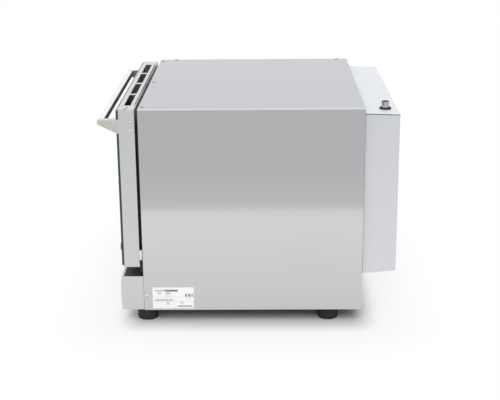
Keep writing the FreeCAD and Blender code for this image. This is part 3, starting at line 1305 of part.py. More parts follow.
def handle_bracket(name, side):
    """Wedge from the glass to a round nose, flat on top, with a lip over the glass's edge."""
    body = new_body()
    drawing = sketch_on(body, "YZ_Plane", "0")
    nose = size("nose_radius")
    centre = FreeCAD.Vector(size("nose_radius - handle_reach"), size("handle_top") - nose, 0)
    root = FreeCAD.Vector(-size(GLASS_FRONT), size("handle_low"), 0)
    crown = FreeCAD.Vector(root.x, size("handle_top"), 0)
    away = root - centre
    slope = math.atan2(away.y, away.x) - math.acos(nose / away.Length)
    touch = centre + FreeCAD.Vector(math.cos(slope), math.sin(slope), 0) * nose
    top = centre + FreeCAD.Vector(0, nose, 0)
    round_nose = Part.ArcOfCircle(Part.Circle(centre, FreeCAD.Vector(0, 0, 1), nose), math.pi / 2,
                                  slope + 2 * math.pi)
    for item in (Part.LineSegment(touch, root), Part.LineSegment(root, crown),
                 Part.LineSegment(crown, top), round_nose):
        drawing.addGeometry(item)
    drawing.addConstraint(Sketcher.Constraint("Coincident", 0, 2, 1, 1))
    drawing.addConstraint(Sketcher.Constraint("Coincident", 1, 2, 2, 1))
    drawing.addConstraint(Sketcher.Constraint("Tangent", 2, 2, 3, 1))
    drawing.addConstraint(Sketcher.Constraint("Tangent", 3, 2, 0, 1))
    pin_point(drawing, 1, 1, f"-{GLASS_FRONT}", "handle_low")
    pin_point(drawing, 1, 2, f"-{GLASS_FRONT}", "handle_top")
    pin_point(drawing, 3, 3, "nose_radius - handle_reach", "handle_top - nose_radius")
    pad(body, drawing, "bracket_width", both=True)
    fillet(body, "bracket_edge", lambda edge: not runs_along(edge, X_AXIS)
           and not near(edge.CenterOfMass.y, f"-{GLASS_FRONT}")
           and near(side * edge.CenterOfMass.x, "bracket_width / 2"))
    lip = mirrored(side, "bracket_width / 2 - glass_inset + loose_fit", "bracket_width / 2")
    hook = box_loop(lip, ("handle_low", "handle_top"))
    pad(body, outline(body, "XZ_Plane", hook, shift=f"-{GLASS_FRONT}"), "glass_thickness", reverse=True)
    middle = f"{side} * ({DOOR_SIDE} - bracket_width / 2)"
    across = f"-{side} * glass_inset"
    bolts = [(across, f"handle_bolt_up + {step} * handle_bolt_pitch", "handle_bolt + push_fit")
             for step in (0, 1)]
    pocket(body, circles(body, "XZ_Plane", *bolts, shift=f"-{GLASS_FRONT}"),
           "2 * (handle_bolt_length - glass_thickness - sheet + loose_fit)")
    seat(f"handle_bracket_{name}", body, middle)


def handle():
    for name, side in SIDES:
        handle_bracket(name, side)
    body = new_body()
    reach = f"({DOOR_SIDE} - bracket_width)"
    profile = box_loop(("-handle_reach", "-handle_reach + grip_depth"),
                       ("handle_top - grip_height", "handle_top"))
    pad(body, outline(body, "YZ_Plane", profile), f"2 * {reach}", both=True)
    fillet(body, "nose_radius", lambda edge: runs_along(edge, X_AXIS)
           and near(edge.CenterOfMass.y, "-handle_reach"))
    fillet(body, "grip_round", lambda edge: runs_along(edge, X_AXIS)
           and near(edge.CenterOfMass.y, "-handle_reach + grip_depth"))
    seat("handle_bar", body)
    inside = f"(-{DOOR_FRONT} + sheet)"
    bolts = [join(rod("y", place, (f"{inside} - handle_bolt_length", inside), "handle_bolt"),
                  rod("y", place, (inside, f"{inside} + handle_bolt"), "handle_bolt_head"))
             for place in glass_bolts()]
    seat("handle_bolts", group(*bolts))
    flanks = [screw("x", place, f"{side} * {DOOR_SIDE}", side) for _, side in SIDES for place in DOOR_SCREWS]
    seat("door_screws", group(*flanks))


def hinges():
    """Fixed arms on the body's front, pins, and yokes inside the door's lower corners."""
    arms = []
    yokes = []
    pins = []
    axis = ("-hinge_forward", "hinge_up")
    for _, side in SIDES:
        middle = f"{side} * {HINGE_SIDE}"
        plate = about(middle, "hinge_plate / 2")
        foot = ("panel_height", "hinge_up + hinge_eye + hinge_base")
        base = block(about(middle, "hinge_base_width / 2"), ("-hinge_base", "0"), foot)
        post = block(plate, ("-hinge_base - hinge_post", "-hinge_base"), foot)
        beam = block(plate, ("-hinge_forward", "-hinge_base"), about("hinge_up", "hinge_eye"))
        eye = rod("x", axis, plate, "hinge_eye")
        bore = rod("x", axis, plate, "hinge_pin + running_fit")
        arms.append(cut(join(base, post, beam, eye), bore))
        cheeks = about(middle, f"{SLOT_HALF} + yoke_cheek")
        front = "-hinge_forward - hinge_notch - yoke_web"
        solid = block(cheeks, (front, "-hinge_forward + hinge_eye"),
                      ("door_bottom + sheet", "hinge_up + hinge_notch"))
        slot = block(about(middle, SLOT_HALF), ("-hinge_forward - hinge_notch", "0"),
                     ("door_bottom", "hinge_up + 2 * hinge_notch"))
        hole = rod("x", axis, cheeks, "hinge_pin + push_fit")
        yokes.append(cut(solid, slot, hole))
        pins.append(rod("x", axis, cheeks, "hinge_pin"))
    seat("hinge_arms", group(*arms))
    seat("hinge_yokes", group(*yokes))
    seat("hinge_pins", group(*pins))


outer_wrapper()
casing_screws()
base_pan()
front_frame()
rear_panel()
rear_cover()
feet()
cavity_liner()
insulation_blanket()
door_gasket()
tray_racks()
fan_baffle()
for name, side in SIDES:
    fan_wheel(name, side)
    motor(name, side)
    heating_ring(name, side)
shaft_seals()
oven_lamp()
sensors()
vent_pipe()
vent_stub()
cable_gland()
electronics()
cooling_fan()
control_panel()
control_board()
push_buttons()
dial()
door_shell()
door_glass()
glass_caps()
handle()
hinges()
doc.recompute()

faults = [thing.Label for thing in doc.Objects if {"Invalid", "Error"} & set(thing.State)]
faults += [node.Label for node in nodes if node.Shape.isNull() or not node.Shape.isValid()]
if faults:
    raise RuntimeError("failed to build: " + ", ".join(faults))
os.makedirs("parts", exist_ok=True)
for node in nodes:
    node.Shape.exportStep(f"parts/{node.Label}.step")
print(len(nodes), "sub-parts written")
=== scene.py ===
# %% [markdown]
# # A countertop convection oven
# The oven arrives as a set of exact solids: folded steel sheets, a glass door on two hinges, fans,
# racks and a control panel. This lesson dresses them. It sets up a small white studio, gives every
# sheet, seal and moulding a finish of its own, and models the little things that sit on the
# surfaces, such as screw heads, a paper label and the prints on the controls.

# %% Load the solids
import bpy
import bmesh
import json
import math
from mathutils import Matrix, Vector


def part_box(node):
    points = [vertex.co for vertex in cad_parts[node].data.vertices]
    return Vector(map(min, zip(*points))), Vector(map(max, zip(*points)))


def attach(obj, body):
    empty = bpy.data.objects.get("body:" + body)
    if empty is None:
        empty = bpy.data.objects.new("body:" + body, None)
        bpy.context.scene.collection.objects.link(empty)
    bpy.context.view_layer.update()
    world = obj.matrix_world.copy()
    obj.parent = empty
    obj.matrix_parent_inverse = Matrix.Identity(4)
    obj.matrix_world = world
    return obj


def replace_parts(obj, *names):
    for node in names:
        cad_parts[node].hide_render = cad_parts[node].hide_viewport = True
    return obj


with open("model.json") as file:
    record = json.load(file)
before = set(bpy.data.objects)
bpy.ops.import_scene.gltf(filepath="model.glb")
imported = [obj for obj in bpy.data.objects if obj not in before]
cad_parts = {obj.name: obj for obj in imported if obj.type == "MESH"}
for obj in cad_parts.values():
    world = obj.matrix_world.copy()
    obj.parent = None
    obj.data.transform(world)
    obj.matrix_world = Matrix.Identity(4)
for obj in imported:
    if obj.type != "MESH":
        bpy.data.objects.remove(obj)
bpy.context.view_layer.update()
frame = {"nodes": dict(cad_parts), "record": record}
MM = 0.001


def box_of(node):
    """Low and high corner of a solid."""
    return [Vector(corner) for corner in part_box(node)]


case_low, case_high = box_of("outer_wrapper")
print("casing, mm:", [round(side / MM) for side in case_high - case_low])

# %% [markdown]
# ## The camera
# The oven is seen square on its right side from a little above. The lens is long, so that the body
# stays nearly a rectangle, and the camera is built from three directions: where it looks, what is
# right and what is up. That is clearer than three angles that depend on each other.

# %% Camera
LENS = 80.86
SENSOR_WIDTH = 36
CAMERA_PLACE = Vector((3.4546, 0.0475, 1.3279))
PITCH = math.radians(17.296)
YAW = math.radians(-0.836)
ROLL = math.radians(-0.502)

forward = Vector((-math.cos(PITCH) * math.cos(YAW), math.cos(PITCH) * math.sin(YAW), -math.sin(PITCH)))
level = Vector((math.sin(YAW), math.cos(YAW), 0))
upward = level.cross(forward)
right = math.cos(ROLL) * level + math.sin(ROLL) * upward
upright = math.cos(ROLL) * upward - math.sin(ROLL) * level
aim = Matrix((right, upright, -forward)).transposed().to_4x4()

camera = bpy.data.objects.new("camera", bpy.data.cameras.new("camera"))
camera.data.lens = LENS
camera.data.sensor_width = SENSOR_WIDTH
camera.data.sensor_fit = "HORIZONTAL"
camera.matrix_world = Matrix.Translation(CAMERA_PLACE) @ aim
bpy.context.scene.collection.objects.link(camera)
bpy.context.scene.camera = camera
bpy.context.scene.view_settings.view_transform = "Standard"
print("camera looks along", [round(part, 3) for part in forward])

# %% [markdown]
# ## Writing shaders as arithmetic
# A finish is a small sum: so much brush line, so much cloudiness, a little stain or dust. Wiring
# Math nodes by hand hides that sum, so one class wraps an output socket and lets Python's own
# operators add the nodes. Everything else, from noise to colour mixing, goes through one method.

# %% Shader helper
class Wire:
    """Output of a shader node; arithmetic on it adds Math nodes to the same tree."""

    def __init__(self, tree, socket):
        self.tree = tree
        self.socket = socket

    def node(self, kind, settings=None, inputs=None, output=0):
        """Add a node with its settings, then the values or links of its sockets; return one output."""
        made = self.tree.nodes.new(kind)
        for name, value in (settings or {}).items():
            setattr(made, name, value)
        for name, value in (inputs or {}).items():
            if isinstance(value, Wire):
                self.tree.links.new(value.socket, made.inputs[name])
            else:
                made.inputs[name].default_value = value
        return Wire(self.tree, made.outputs[output])

    def math(self, operation, first, second):
        """Math node on two values."""
        return self.node("ShaderNodeMath", {"operation": operation}, {0: first, 1: second})

    def __add__(self, other):
        return self.math("ADD", self, other)

    def __sub__(self, other):
        return self.math("SUBTRACT", self, other)

    def __rsub__(self, other):
        return self.math("SUBTRACT", other, self)

    def __mul__(self, other):
        return self.math("MULTIPLY", self, other)

    def __abs__(self):
        return self.math("ABSOLUTE", self, 0)

    def __mod__(self, other):
        return self.math("FLOORED_MODULO", self, other)

    def __gt__(self, other):
        return self.math("GREATER_THAN", self, other)

    def __lt__(self, other):
        return self.math("LESS_THAN", self, other)

    __radd__ = __add__
    __rmul__ = __mul__

    def either(self, other):
        """Larger of two values."""
        return self.math("MAXIMUM", self, other)

    def ramp(self, low, high):
        """Smooth rise from 0 at one value to 1 at another."""
        return self.node("ShaderNodeMapRange", {"interpolation_type": "SMOOTHSTEP"},
                         {"Value": self, "From Min": low, "From Max": high})

    def mix(self, first, second):
        """Blend two colours by this value."""
        return self.node("ShaderNodeMix", {"data_type": "RGBA"}, {0: self, 6: first, 7: second}, 2)

    def vector(self, operation, other=(0, 0, 0)):
        """Vector Math on a place; a length comes out as one value."""
        output = "Value" if operation == "LENGTH" else "Vector"
        return self.node("ShaderNodeVectorMath", {"operation": operation}, {0: self, 1: other}, output)

    def axis(self, name):
        """One coordinate of a place."""
        return self.node("ShaderNodeSeparateXYZ", None, {0: self}, "XYZ".index(name))

    def noise(self, scale, detail=2.0, rough=0.5):
        """Noise in lumps per metre, with one scale for all axes or one for each."""
        scales = (scale,) * 3 if isinstance(scale, float) else scale
        spread = self.node("ShaderNodeMapping", None, {"Vector": self, "Scale": scales})
        return self.node("ShaderNodeTexNoise", None,
                         {"Vector": spread, "Scale": 1.0, "Detail": detail, "Roughness": rough})

    def bump(self, depth, strength=1.0):
        """Surface normal from a height between 0 and 1, with its depth in metres."""
        return self.node("ShaderNodeBump", None, {"Strength": strength, "Distance": depth, "Height": self})


def colour(red, painted_edge_light, blue):
    return (red, painted_edge_light, blue, 1.0)


def grey(value):
    return colour(value, value, value)


def start(name, **fixed):
    """New finish: its material, its shader with the inputs that are fixed, and the piece's coordinates."""
    material = bpy.data.materials.new(name)
    material.use_nodes = True
    tree = material.node_tree
    shader = tree.nodes["Principled BSDF"]
    for socket, value in fixed.items():
        shader.inputs[socket.replace("_", " ")].default_value = value
    return material, shader, Wire(tree, tree.nodes.new("ShaderNodeTexCoord").outputs["Object"])


def feed(shader, **wires):
    """Link values that change over the surface to the shader."""
    for socket, wire in wires.items():
        wire.tree.links.new(wire.socket, shader.inputs[socket.replace("_", " ")])


helpers = [name for name, value in vars(Wire).items() if callable(value) and name != "__init__"]
print("helpers on a socket:", len(helpers))

# %% [markdown]
# ## The studio floor
# The picture is a plain white one: a pale floor that catches the oven's shadow and runs out into white.
# How white it is depends on how far a point lies from the casing's footprint, which Vector Math works
# out. The footprint ends a little before the casing's back, where more light comes in under the cover.

# %% Floor
FLOOR_HALF = 16.0
FLOOR_TONES = (grey(0.53), grey(0.57))
LIT_BEHIND = 0.035

mesh = bmesh.new()
bmesh.ops.create_grid(mesh, x_segments=1, y_segments=1, size=FLOOR_HALF)
floor = bpy.data.objects.new("floor", bpy.data.meshes.new("floor"))
mesh.to_mesh(floor.data)
mesh.free()
bpy.context.scene.collection.objects.link(floor)

floor_finish, floor_shader, place = start("pale_floor", Roughness=0.9, Specular_IOR_Level=0.1)
feed(floor_shader, Base_Color=place.noise(1.5).mix(*FLOOR_TONES))
floor.data.materials.append(floor_finish)

foot_middle = Vector((case_low.x + case_high.x, case_low.y + case_high.y - LIT_BEHIND, 0)) / 2
foot_half = (case_high - case_low - Vector((0, LIT_BEHIND, 0))) / 2
beyond = place.vector("SUBTRACT", foot_middle).vector("ABSOLUTE").vector("SUBTRACT", foot_half)
distance = beyond.vector("MAXIMUM").vector("LENGTH")
print("footprint, m:", [round(2 * side, 3) for side in foot_half.xy])

# %% [markdown]
# ## Where the floor turns white
# Polished sheet shows what stands in front of it, and the oven's sides look down at the floor. A studio
# floor is only lit for about a metre, so in reflections it turns grey beyond that. The change is made
# with Mix Shader, whose factor asks what kind of ray has arrived.

# %% Lit and unlit floor
FADE_END = 0.1
SHADE, SHADE_END = 0.2, 0.32
LIT_END, LIT_EDGE = 1.068, 0.03
LIT_TONES = (grey(0.89), grey(1.0))
DUSK_START, DUSK_END = 1.27, 1.65
DUSK_TONES = (colour(0.735, 0.725, 0.715), colour(0.672, 0.674, 0.697))


def ray(place, kind):
    """1 where a ray of this kind arrives."""
    return place.node("ShaderNodeLightPath", None, None, f"Is {kind} Ray")


def seen_rays(place):
    """1 for the rays that show the studio: straight ones, mirrored ones and those through glass."""
    return ray(place, "Camera").either(ray(place, "Glossy")).either(ray(place, "Transmission"))


def glowing(tone):
    """Floor that gives off a tone by itself."""
    return place.node("ShaderNodeEmission", None, {"Color": tone, "Strength": 1.0})


def blended(factor, first, second):
    """Two kinds of floor; the second shows where the factor is 1."""
    return place.node("ShaderNodeMixShader", None, {0: factor, 1: first, 2: second})


mirrored = ray(place, "Glossy")
fade = distance.ramp(0, FADE_END) * (1 - SHADE) + distance.ramp(0, SHADE_END) * SHADE
lit = glowing(distance.ramp(FADE_END, LIT_END).mix(*LIT_TONES))
white = blended(mirrored, glowing(grey(1.0)), lit)
dusk = glowing(distance.ramp(DUSK_START, DUSK_END).mix(*DUSK_TONES))
unlit = distance.ramp(LIT_END, LIT_END + LIT_EDGE) * mirrored
bare = Wire(place.tree, floor_shader.outputs[0])
surface = blended(fade * seen_rays(place), bare, blended(unlit, white, dusk))
feed(place.tree.nodes["Material Output"], Surface=surface)
print("the floor is white from", SHADE_END, "m on")

# %% [markdown]
# ## Light
# Light comes from everywhere, as in a white tent: that is the world, a little brighter overhead where
# the steel mirrors it. Two large soft lamps add the shadow's direction. They could show as bright
# squares in the steel, so they are left out of reflections.

# %% World and lamps
WORLD_LIGHT = 0.52
SKY_TONES = (colour(0.8, 0.815, 0.855), colour(1.16, 1.17, 1.19))
SKY_LOW, SKY_HIGH = 0.3, 0.75
LAMP_ABOVE = dict(spot=Vector((-0.2, 0, 3.3)), size=5.0, power=86)
LAMP_BESIDE = dict(spot=Vector((3.4, -0.5, 3.4)), size=3.0, power=112)

world = bpy.data.worlds.new("studio")
world.use_nodes = True
bpy.context.scene.world = world
background = world.node_tree.nodes["Background"]
sky = Wire(world.node_tree, background.outputs[0])
overhead = sky.node("ShaderNodeTexCoord", None, None, "Generated").axis("Z").ramp(SKY_LOW, SKY_HIGH)
feed(background, Color=ray(sky, "Glossy").mix(grey(1.0), overhead.mix(*SKY_TONES)),
     Strength=WORLD_LIGHT + seen_rays(sky) * (1 - WORLD_LIGHT))


def soft_lamp(name, spot, size, power):
    """Square lamp that faces the oven and is left out of reflections."""
    lamp = bpy.data.objects.new(name, bpy.data.lights.new(name, "AREA"))
    lamp.data.size = size
    lamp.data.energy = power
    lamp.matrix_world = Matrix.Translation(spot) @ spot.to_track_quat("Z", "Y").to_matrix().to_4x4()
    lamp.visible_glossy = False
    bpy.context.scene.collection.objects.link(lamp)


soft_lamp("lamp_above", **LAMP_ABOVE)
soft_lamp("lamp_beside", **LAMP_BESIDE)
print("lamps, W:", LAMP_ABOVE["power"], LAMP_BESIDE["power"])

# %% [markdown]
# ## Sheet steel
# Most of the oven is thin stainless sheet with a fine brushed grain. Up close the grain is thousands
# of scratches along one direction; from a step away it only softens the reflections and makes them
# slightly uneven. So the finish is noise pulled out along one axis for the scratches, a slow cloud
# for the sheet's unevenness, and a few longer rubs from handling. Steel in the hot chamber also has
# brown stains, and the pipe's rim is darkened with painted shade of its open end.

# %% Brushed steel
GRAIN_ALONG, GRAIN_ACROSS = 9.0, 1400.0
GRAIN_DEPTH = 0.004 * MM
RUB_ALONG, RUB_ACROSS = 2.5, 60.0
RUB_SHOWN = (0.62, 0.8)
CLOUD_SCALE = 3.0
STAIN_SCALE, STAIN_SHOWN = 9.0, (0.45, 0.8)
BURNT = (0.8, 0.74, 0.66)
RIM_SHADE_TONE = grey(0.02)


def pulled(grain, along, across):
    """Noise scales for the three axes, with long lumps along the grain."""
    return [along if axis == grain else across for axis in "XYZ"]


def brushed(name, tone, grain, rough, clouding, tarnish=0.0, rim_shade_above=None):
    """Brushed sheet: its colour, the axis of its grain and how much it blurs what it shows."""
    material, shader, place = start(name, Metallic=1.0)
    lines = place.noise(pulled(grain, GRAIN_ALONG, GRAIN_ACROSS), detail=3.0, rough=0.65)
    rubs = place.noise(pulled(grain, RUB_ALONG, RUB_ACROSS)).ramp(*RUB_SHOWN)
    cloud = place.noise(CLOUD_SCALE, detail=3.0)
    light = colour(*(part * (1 + clouding) for part in tone))
    dark = colour(*(part * (1 - clouding) for part in tone))
    brown = colour(*(part * left for part, left in zip(tone, BURNT)))
    stain = place.noise(STAIN_SCALE, detail=4.0).ramp(*STAIN_SHOWN) * tarnish
    base = stain.mix((lines * 0.35 + cloud * 0.65).mix(dark, light), brown)
    # painted shade: the top of the pipe is darkened to stand for the shade inside its open end
    if rim_shade_above:
        base = (place.axis("Z") > rim_shade_above).mix(base, RIM_SHADE_TONE)
    feed(shader, Base_Color=base,
         Roughness=rough * (0.75 + lines * 0.3 + cloud * 0.2) + rubs * 0.02,
         Normal=lines.bump(GRAIN_DEPTH, strength=0.4))
    return material


print("brush lines in 1 mm:", round(GRAIN_ACROSS * MM, 1))

# %% [markdown]
# ## Ten kinds of steel
# The sheets differ in gloss: the casing is the shiniest, the door and the motor cover are matt. The grain
# runs along each sheet as it came off the roll. A table keeps the ten looks beside each other, which
# makes them easy to compare.

# %% Steel finishes
STUB_RIM = 0.6 * MM
rim_shade_from = box_of("vent_stub")[1].z - STUB_RIM
STEELS = {
    "wrapper_steel": dict(tone=(0.655, 0.655, 0.655), grain="Y", rough=0.09, clouding=0.045),
    "door_steel": dict(tone=(0.755, 0.755, 0.745), grain="Z", rough=0.5, clouding=0.03),
    "panel_steel": dict(tone=(0.71, 0.71, 0.7), grain="X", rough=0.3, clouding=0.03),
    "hood_steel": dict(tone=(0.85, 0.86, 0.88), grain="Z", rough=0.58, clouding=0.04),
    "zinc_sheet": dict(tone=(0.56, 0.57, 0.58), grain="Y", rough=0.42, clouding=0.1),
    "frame_steel": dict(tone=(0.6, 0.6, 0.6), grain="X", rough=0.32, clouding=0.04),
    "chamber_steel": dict(tone=(0.56, 0.555, 0.54), grain="Y", rough=0.28, clouding=0.06, tarnish=0.35),
    "pipe_steel": dict(tone=(0.6, 0.6, 0.6), grain="Z", rough=0.3, clouding=0.05, rim_shade_above=rim_shade_from),
    "fan_steel": dict(tone=(0.5, 0.49, 0.48), grain="Y", rough=0.34, clouding=0.08, tarnish=0.4),
    "bright_bolts": dict(tone=(0.88, 0.88, 0.88), grain="X", rough=0.14, clouding=0.04),
}
finishes = {name: brushed(name, **look) for name, look in STEELS.items()}
print("steel finishes:", len(STEELS))

# %% [markdown]
# ## Rubber, plastic and paint
# The seal and the feet are matt black rubber with a dusty bloom. The panel's top and the hinge arms
# are black powder coat, whose skin is slightly pebbled like an orange, and the motors are painted grey.
# The mouldings have a fine spark-eroded texture. These are all one idea: a base tone, a fine bump and
# a little dust. The handle's brackets carry painted shade on their inner cheeks, chosen by how near a
# point lies to the oven's middle.

# %% Dark and moulded finishes
CHEEK_SKIN = 0.5 * MM
# grey of the painted shade on the handle brackets' inner cheeks
CHEEK_SHADE_TONE = grey(0.17)
BLOOM_SCALE, BLOOM_SHOWN = 14.0, (0.4, 0.75)

bracket_low, bracket_high = box_of("handle_bracket_right")
cheek_shade_reach = min(abs(bracket_low.x), abs(bracket_high.x)) + CHEEK_SKIN


def moulded(name, tone, rough, pebble, depth, dust=0.03, shade_within=None):
    """Non-metal: its colour, its gloss, the size and depth of its texture in millimetres, its dust, and
    how far from the oven's middle the painted shade on its cheeks reaches."""
    material, shader, place = start(name)
    skin = place.noise(1 / (pebble * MM))
    bloom = place.noise(BLOOM_SCALE, detail=4.0).ramp(*BLOOM_SHOWN)
    dusty = colour(*(part + dust for part in tone))
    base = (bloom * 0.7 + skin * 0.3).mix(colour(*tone), dusty)
    # painted shade: the brackets' inner cheeks are darkened to stand for the shadow between them
    if shade_within:
        base = (abs(place.axis("X")) < shade_within).mix(base, CHEEK_SHADE_TONE)
    feed(shader, Base_Color=base,
         Roughness=rough + bloom * 0.1 + (skin - 0.5) * 0.08,
         Normal=skin.bump(depth * MM, strength=0.5))
    return material


MOULDINGS = {
    "seal_rubber": dict(tone=(0.006, 0.006, 0.006), rough=0.62, pebble=0.8, depth=0.02, dust=0.008),
    "foot_rubber": dict(tone=(0.007, 0.007, 0.008), rough=0.6, pebble=0.9, depth=0.03, dust=0.012),
    "black_paint": dict(tone=(0.02, 0.02, 0.022), rough=0.42, pebble=1.2, depth=0.03, dust=0.015),
    "black_plastic": dict(tone=(0.015, 0.015, 0.016), rough=0.45, pebble=0.6, depth=0.02, dust=0.012),
    "handle_plastic": dict(tone=(0.48, 0.473, 0.425), rough=0.42, pebble=0.7, depth=0.02,
                           shade_within=cheek_shade_reach),
    "button_plastic": dict(tone=(0.035, 0.036, 0.04), rough=0.38, pebble=0.6, depth=0.02, dust=0.01),
    "lamp_ceramic": dict(tone=(0.72, 0.7, 0.65), rough=0.35, pebble=1.5, depth=0.02, dust=0.04),
    "motor_metal": dict(tone=(0.2, 0.2, 0.21), rough=0.5, pebble=2.0, depth=0.08, dust=0.05),
}
finishes |= {name: moulded(name, **look) for name, look in MOULDINGS.items()}
print("moulded finishes:", len(MOULDINGS))

# %% [markdown]
# ## Heaters and wool
# The ring heaters are steel tubes that turn dark grey and brown from use. The wool round the chamber is
# fibrous, and its fibres lie mostly one way, so its noise is pulled out along the oven's depth.

# %% Heater and wool
BURN_SCALE, OXIDE_SCALE = 30.0, 900.0
BURN_TONES = (colour(0.06, 0.055, 0.055), colour(0.2, 0.16, 0.13))
OXIDE_DEPTH = 0.02 * MM
FIBRE_SCALE = (500.0, 60.0, 500.0)
FIBRE_TONES = (colour(0.42, 0.37, 0.22), colour(0.8, 0.74, 0.5))
FIBRE_DEPTH = 0.8 * MM

material, shader, place = start("heater_metal", Metallic=0.8)
burn = place.noise(BURN_SCALE, detail=4.0)
feed(shader, Base_Color=burn.mix(*BURN_TONES), Roughness=0.45 + burn * 0.25,
     Normal=place.noise(OXIDE_SCALE).bump(OXIDE_DEPTH, strength=0.5))
finishes["heater_metal"] = material

material, shader, place = start("wool", Roughness=0.95)
fibre = place.noise(FIBRE_SCALE, detail=5.0, rough=0.7)
feed(shader, Base_Color=fibre.mix(*FIBRE_TONES), Normal=fibre.bump(FIBRE_DEPTH))
finishes["wool"] = material
print("finishes so far:", len(finishes))

# %% [markdown]
# ## Boards and racks
# Circuit boards are green lacquer over copper tracks, with dots of tin. The tracks are a remainder of
# the place across the board, moved by noise so that they wander, and need no drawing. The racks are
# chrome wire, hazy from washing.

# %% Boards and chrome
TRACK_PITCH = 4 * MM
TRACK_SHARE = 0.4
TRACK_WANDER, WANDER_SCALE = 6 * MM, 60.0
LACQUER_TONES = (colour(0.008, 0.06, 0.025), colour(0.03, 0.16, 0.07))
TIN_SCALE, TIN_FROM, TIN_TONE = 250.0, 0.68, grey(0.55)
HAZE_SCALE = 45.0
CHROME_TONES = (colour(0.62, 0.62, 0.62), colour(0.78, 0.78, 0.77))

material, shader, place = start("board", Roughness=0.35)
wander = place.noise(WANDER_SCALE) * TRACK_WANDER
track = ((place.axis("X") + wander) % TRACK_PITCH) < TRACK_PITCH * TRACK_SHARE
tin = place.noise(TIN_SCALE) > TIN_FROM
feed(shader, Base_Color=tin.mix(track.mix(*LACQUER_TONES), TIN_TONE), Metallic=tin * 0.9)
finishes["board"] = material

material, shader, place = start("rack_chrome", Metallic=1.0)
haze = place.noise(HAZE_SCALE, detail=4.0)
feed(shader, Base_Color=haze.mix(*CHROME_TONES), Roughness=0.1 + haze * 0.16)
finishes["rack_chrome"] = material
print("board tracks per 10 mm:", round(10 * MM / TRACK_PITCH, 1))

# %% [markdown]
# ## The handle bar
# The grip is an anodised aluminium profile, drawn lengthwise. Its back carries a strip of painted shade,
# the shadow of the gap behind the bar. The strip follows the profile, so it is chosen by how far back a
# point lies.

# %% Handle bar
GRIP_SHADE_DEPTH = 2.5 * MM
GRIP_LOW = 5 * MM
GRIP_TONES = (colour(0.7, 0.697, 0.68), colour(0.8, 0.797, 0.78))
GRIP_SHADE_TONE = grey(0.085)
DRAW_SCALE = (8.0, 1600.0, 1600.0)
DRAW_DEPTH = 0.003 * MM

bar_low, bar_high = box_of("handle_bar")
material, shader, place = start("handle_metal")
draw = place.noise(DRAW_SCALE, detail=3.0)
# painted shade: a dark strip along the bar's back stands for the shadow of the gap behind it
shade_strip = (place.axis("Y") > bar_high.y - GRIP_SHADE_DEPTH) * (place.axis("Z") > bar_low.z + GRIP_LOW)
feed(shader, Base_Color=shade_strip.mix(draw.mix(*GRIP_TONES), GRIP_SHADE_TONE), Metallic=(1 - shade_strip) * 0.3,
     Roughness=0.34 + draw * 0.1 + shade_strip * 0.15, Normal=draw.bump(DRAW_DEPTH, strength=0.4))
finishes["handle_metal"] = material
print("grip strip at the last", GRIP_SHADE_DEPTH / MM, "mm of the bar")

# %% [markdown]
# ## Outer glass
# The outer pane is dark toughened glass with a black border fired onto it, which hides the door's
# folded edges. Its cut edge is green glass, with painted light: the green shows only across a band of
# heights, where light runs along the pane, and is dark grey above and below. The pane is a thin sheet, so
# see-through is done with the shader's alpha and the gloss does the rest.

# %% Outer pane
BORDER_SIDE = 52 * MM
BORDER_TOP = 50 * MM
BORDER_LOW = 78 * MM
BORDER_SOFT = 4 * MM
CUT_EDGE = 1.2 * MM
GREEN_LOW, GREEN_FADE, GREEN_TOP = 270 * MM, 220 * MM, 600 * MM
CUT_TONES = (grey(0.03), colour(0.012, 0.075, 0.048))
PANE_TONES = (colour(0.012, 0.02, 0.017), grey(0.008))
PANE_ALPHA = 0.55
PANE_SMEAR = (11.0, 11.0, 3.0)
GLASS_IOR = 1.5

pane_low, pane_high = box_of("outer_glass")
material, shader, place = start("outer_glass", IOR=GLASS_IOR, Coat_Weight=0.3)
across = abs(place.axis("X"))
height = place.axis("Z")
border = across.ramp(pane_high.x - BORDER_SIDE - BORDER_SOFT, pane_high.x - BORDER_SIDE)
border = border.either(height.ramp(pane_high.z - BORDER_TOP - BORDER_SOFT, pane_high.z - BORDER_TOP))
border = border.either(1 - height.ramp(pane_low.z + BORDER_LOW, pane_low.z + BORDER_LOW + BORDER_SOFT))
cut_edge = across > pane_high.x - CUT_EDGE
# painted light: the cut edge is green only across a band of heights, dark grey above and below
painted_edge_light = height.ramp(GREEN_LOW, GREEN_LOW + GREEN_FADE) * (height < GREEN_TOP)
smear = place.noise(PANE_SMEAR, detail=4.0)
feed(shader, Base_Color=cut_edge.mix(border.mix(*PANE_TONES), painted_edge_light.mix(*CUT_TONES)),
     Roughness=0.04 + smear * 0.05, Alpha=PANE_ALPHA + border.either(cut_edge) * (1 - PANE_ALPHA))
finishes["outer_glass"] = material
print("clear part of the pane, mm:", round(2 * (pane_high.x - BORDER_SIDE) / MM))

# %% [markdown]
# ## Inner glass, lamp and display
# The inner pane is clear with a trace of baked-on grease. The oven lamp's cover is pressed glass with
# a frosted grain, and the display is a dark glossy window. In all three, noise for smears or frost goes
# from one tone to another that is close to it.

# %% Inner pane, lamp glass and display
GREASE_SCALE, GREASE_SHOWN = (9.0, 9.0, 4.0), (0.5, 0.8)
GREASE_TONES = (colour(0.3, 0.36, 0.33), colour(0.42, 0.46, 0.42))
FROST_SCALE, FROST_DEPTH = 160.0, 0.2 * MM
FROST_TONES = (colour(0.7, 0.7, 0.66), colour(0.85, 0.85, 0.8))
WINDOW_SMEAR = 35.0
WINDOW_TONES = (colour(0.004, 0.004, 0.006), colour(0.012, 0.012, 0.014))

material, shader, place = start("inner_glass", IOR=GLASS_IOR)
grease = place.noise(GREASE_SCALE, detail=4.0)
feed(shader, Base_Color=grease.mix(*GREASE_TONES), Roughness=0.05 + grease * 0.08,
     Alpha=0.1 + grease.ramp(*GREASE_SHOWN) * 0.08)
finishes["inner_glass"] = material

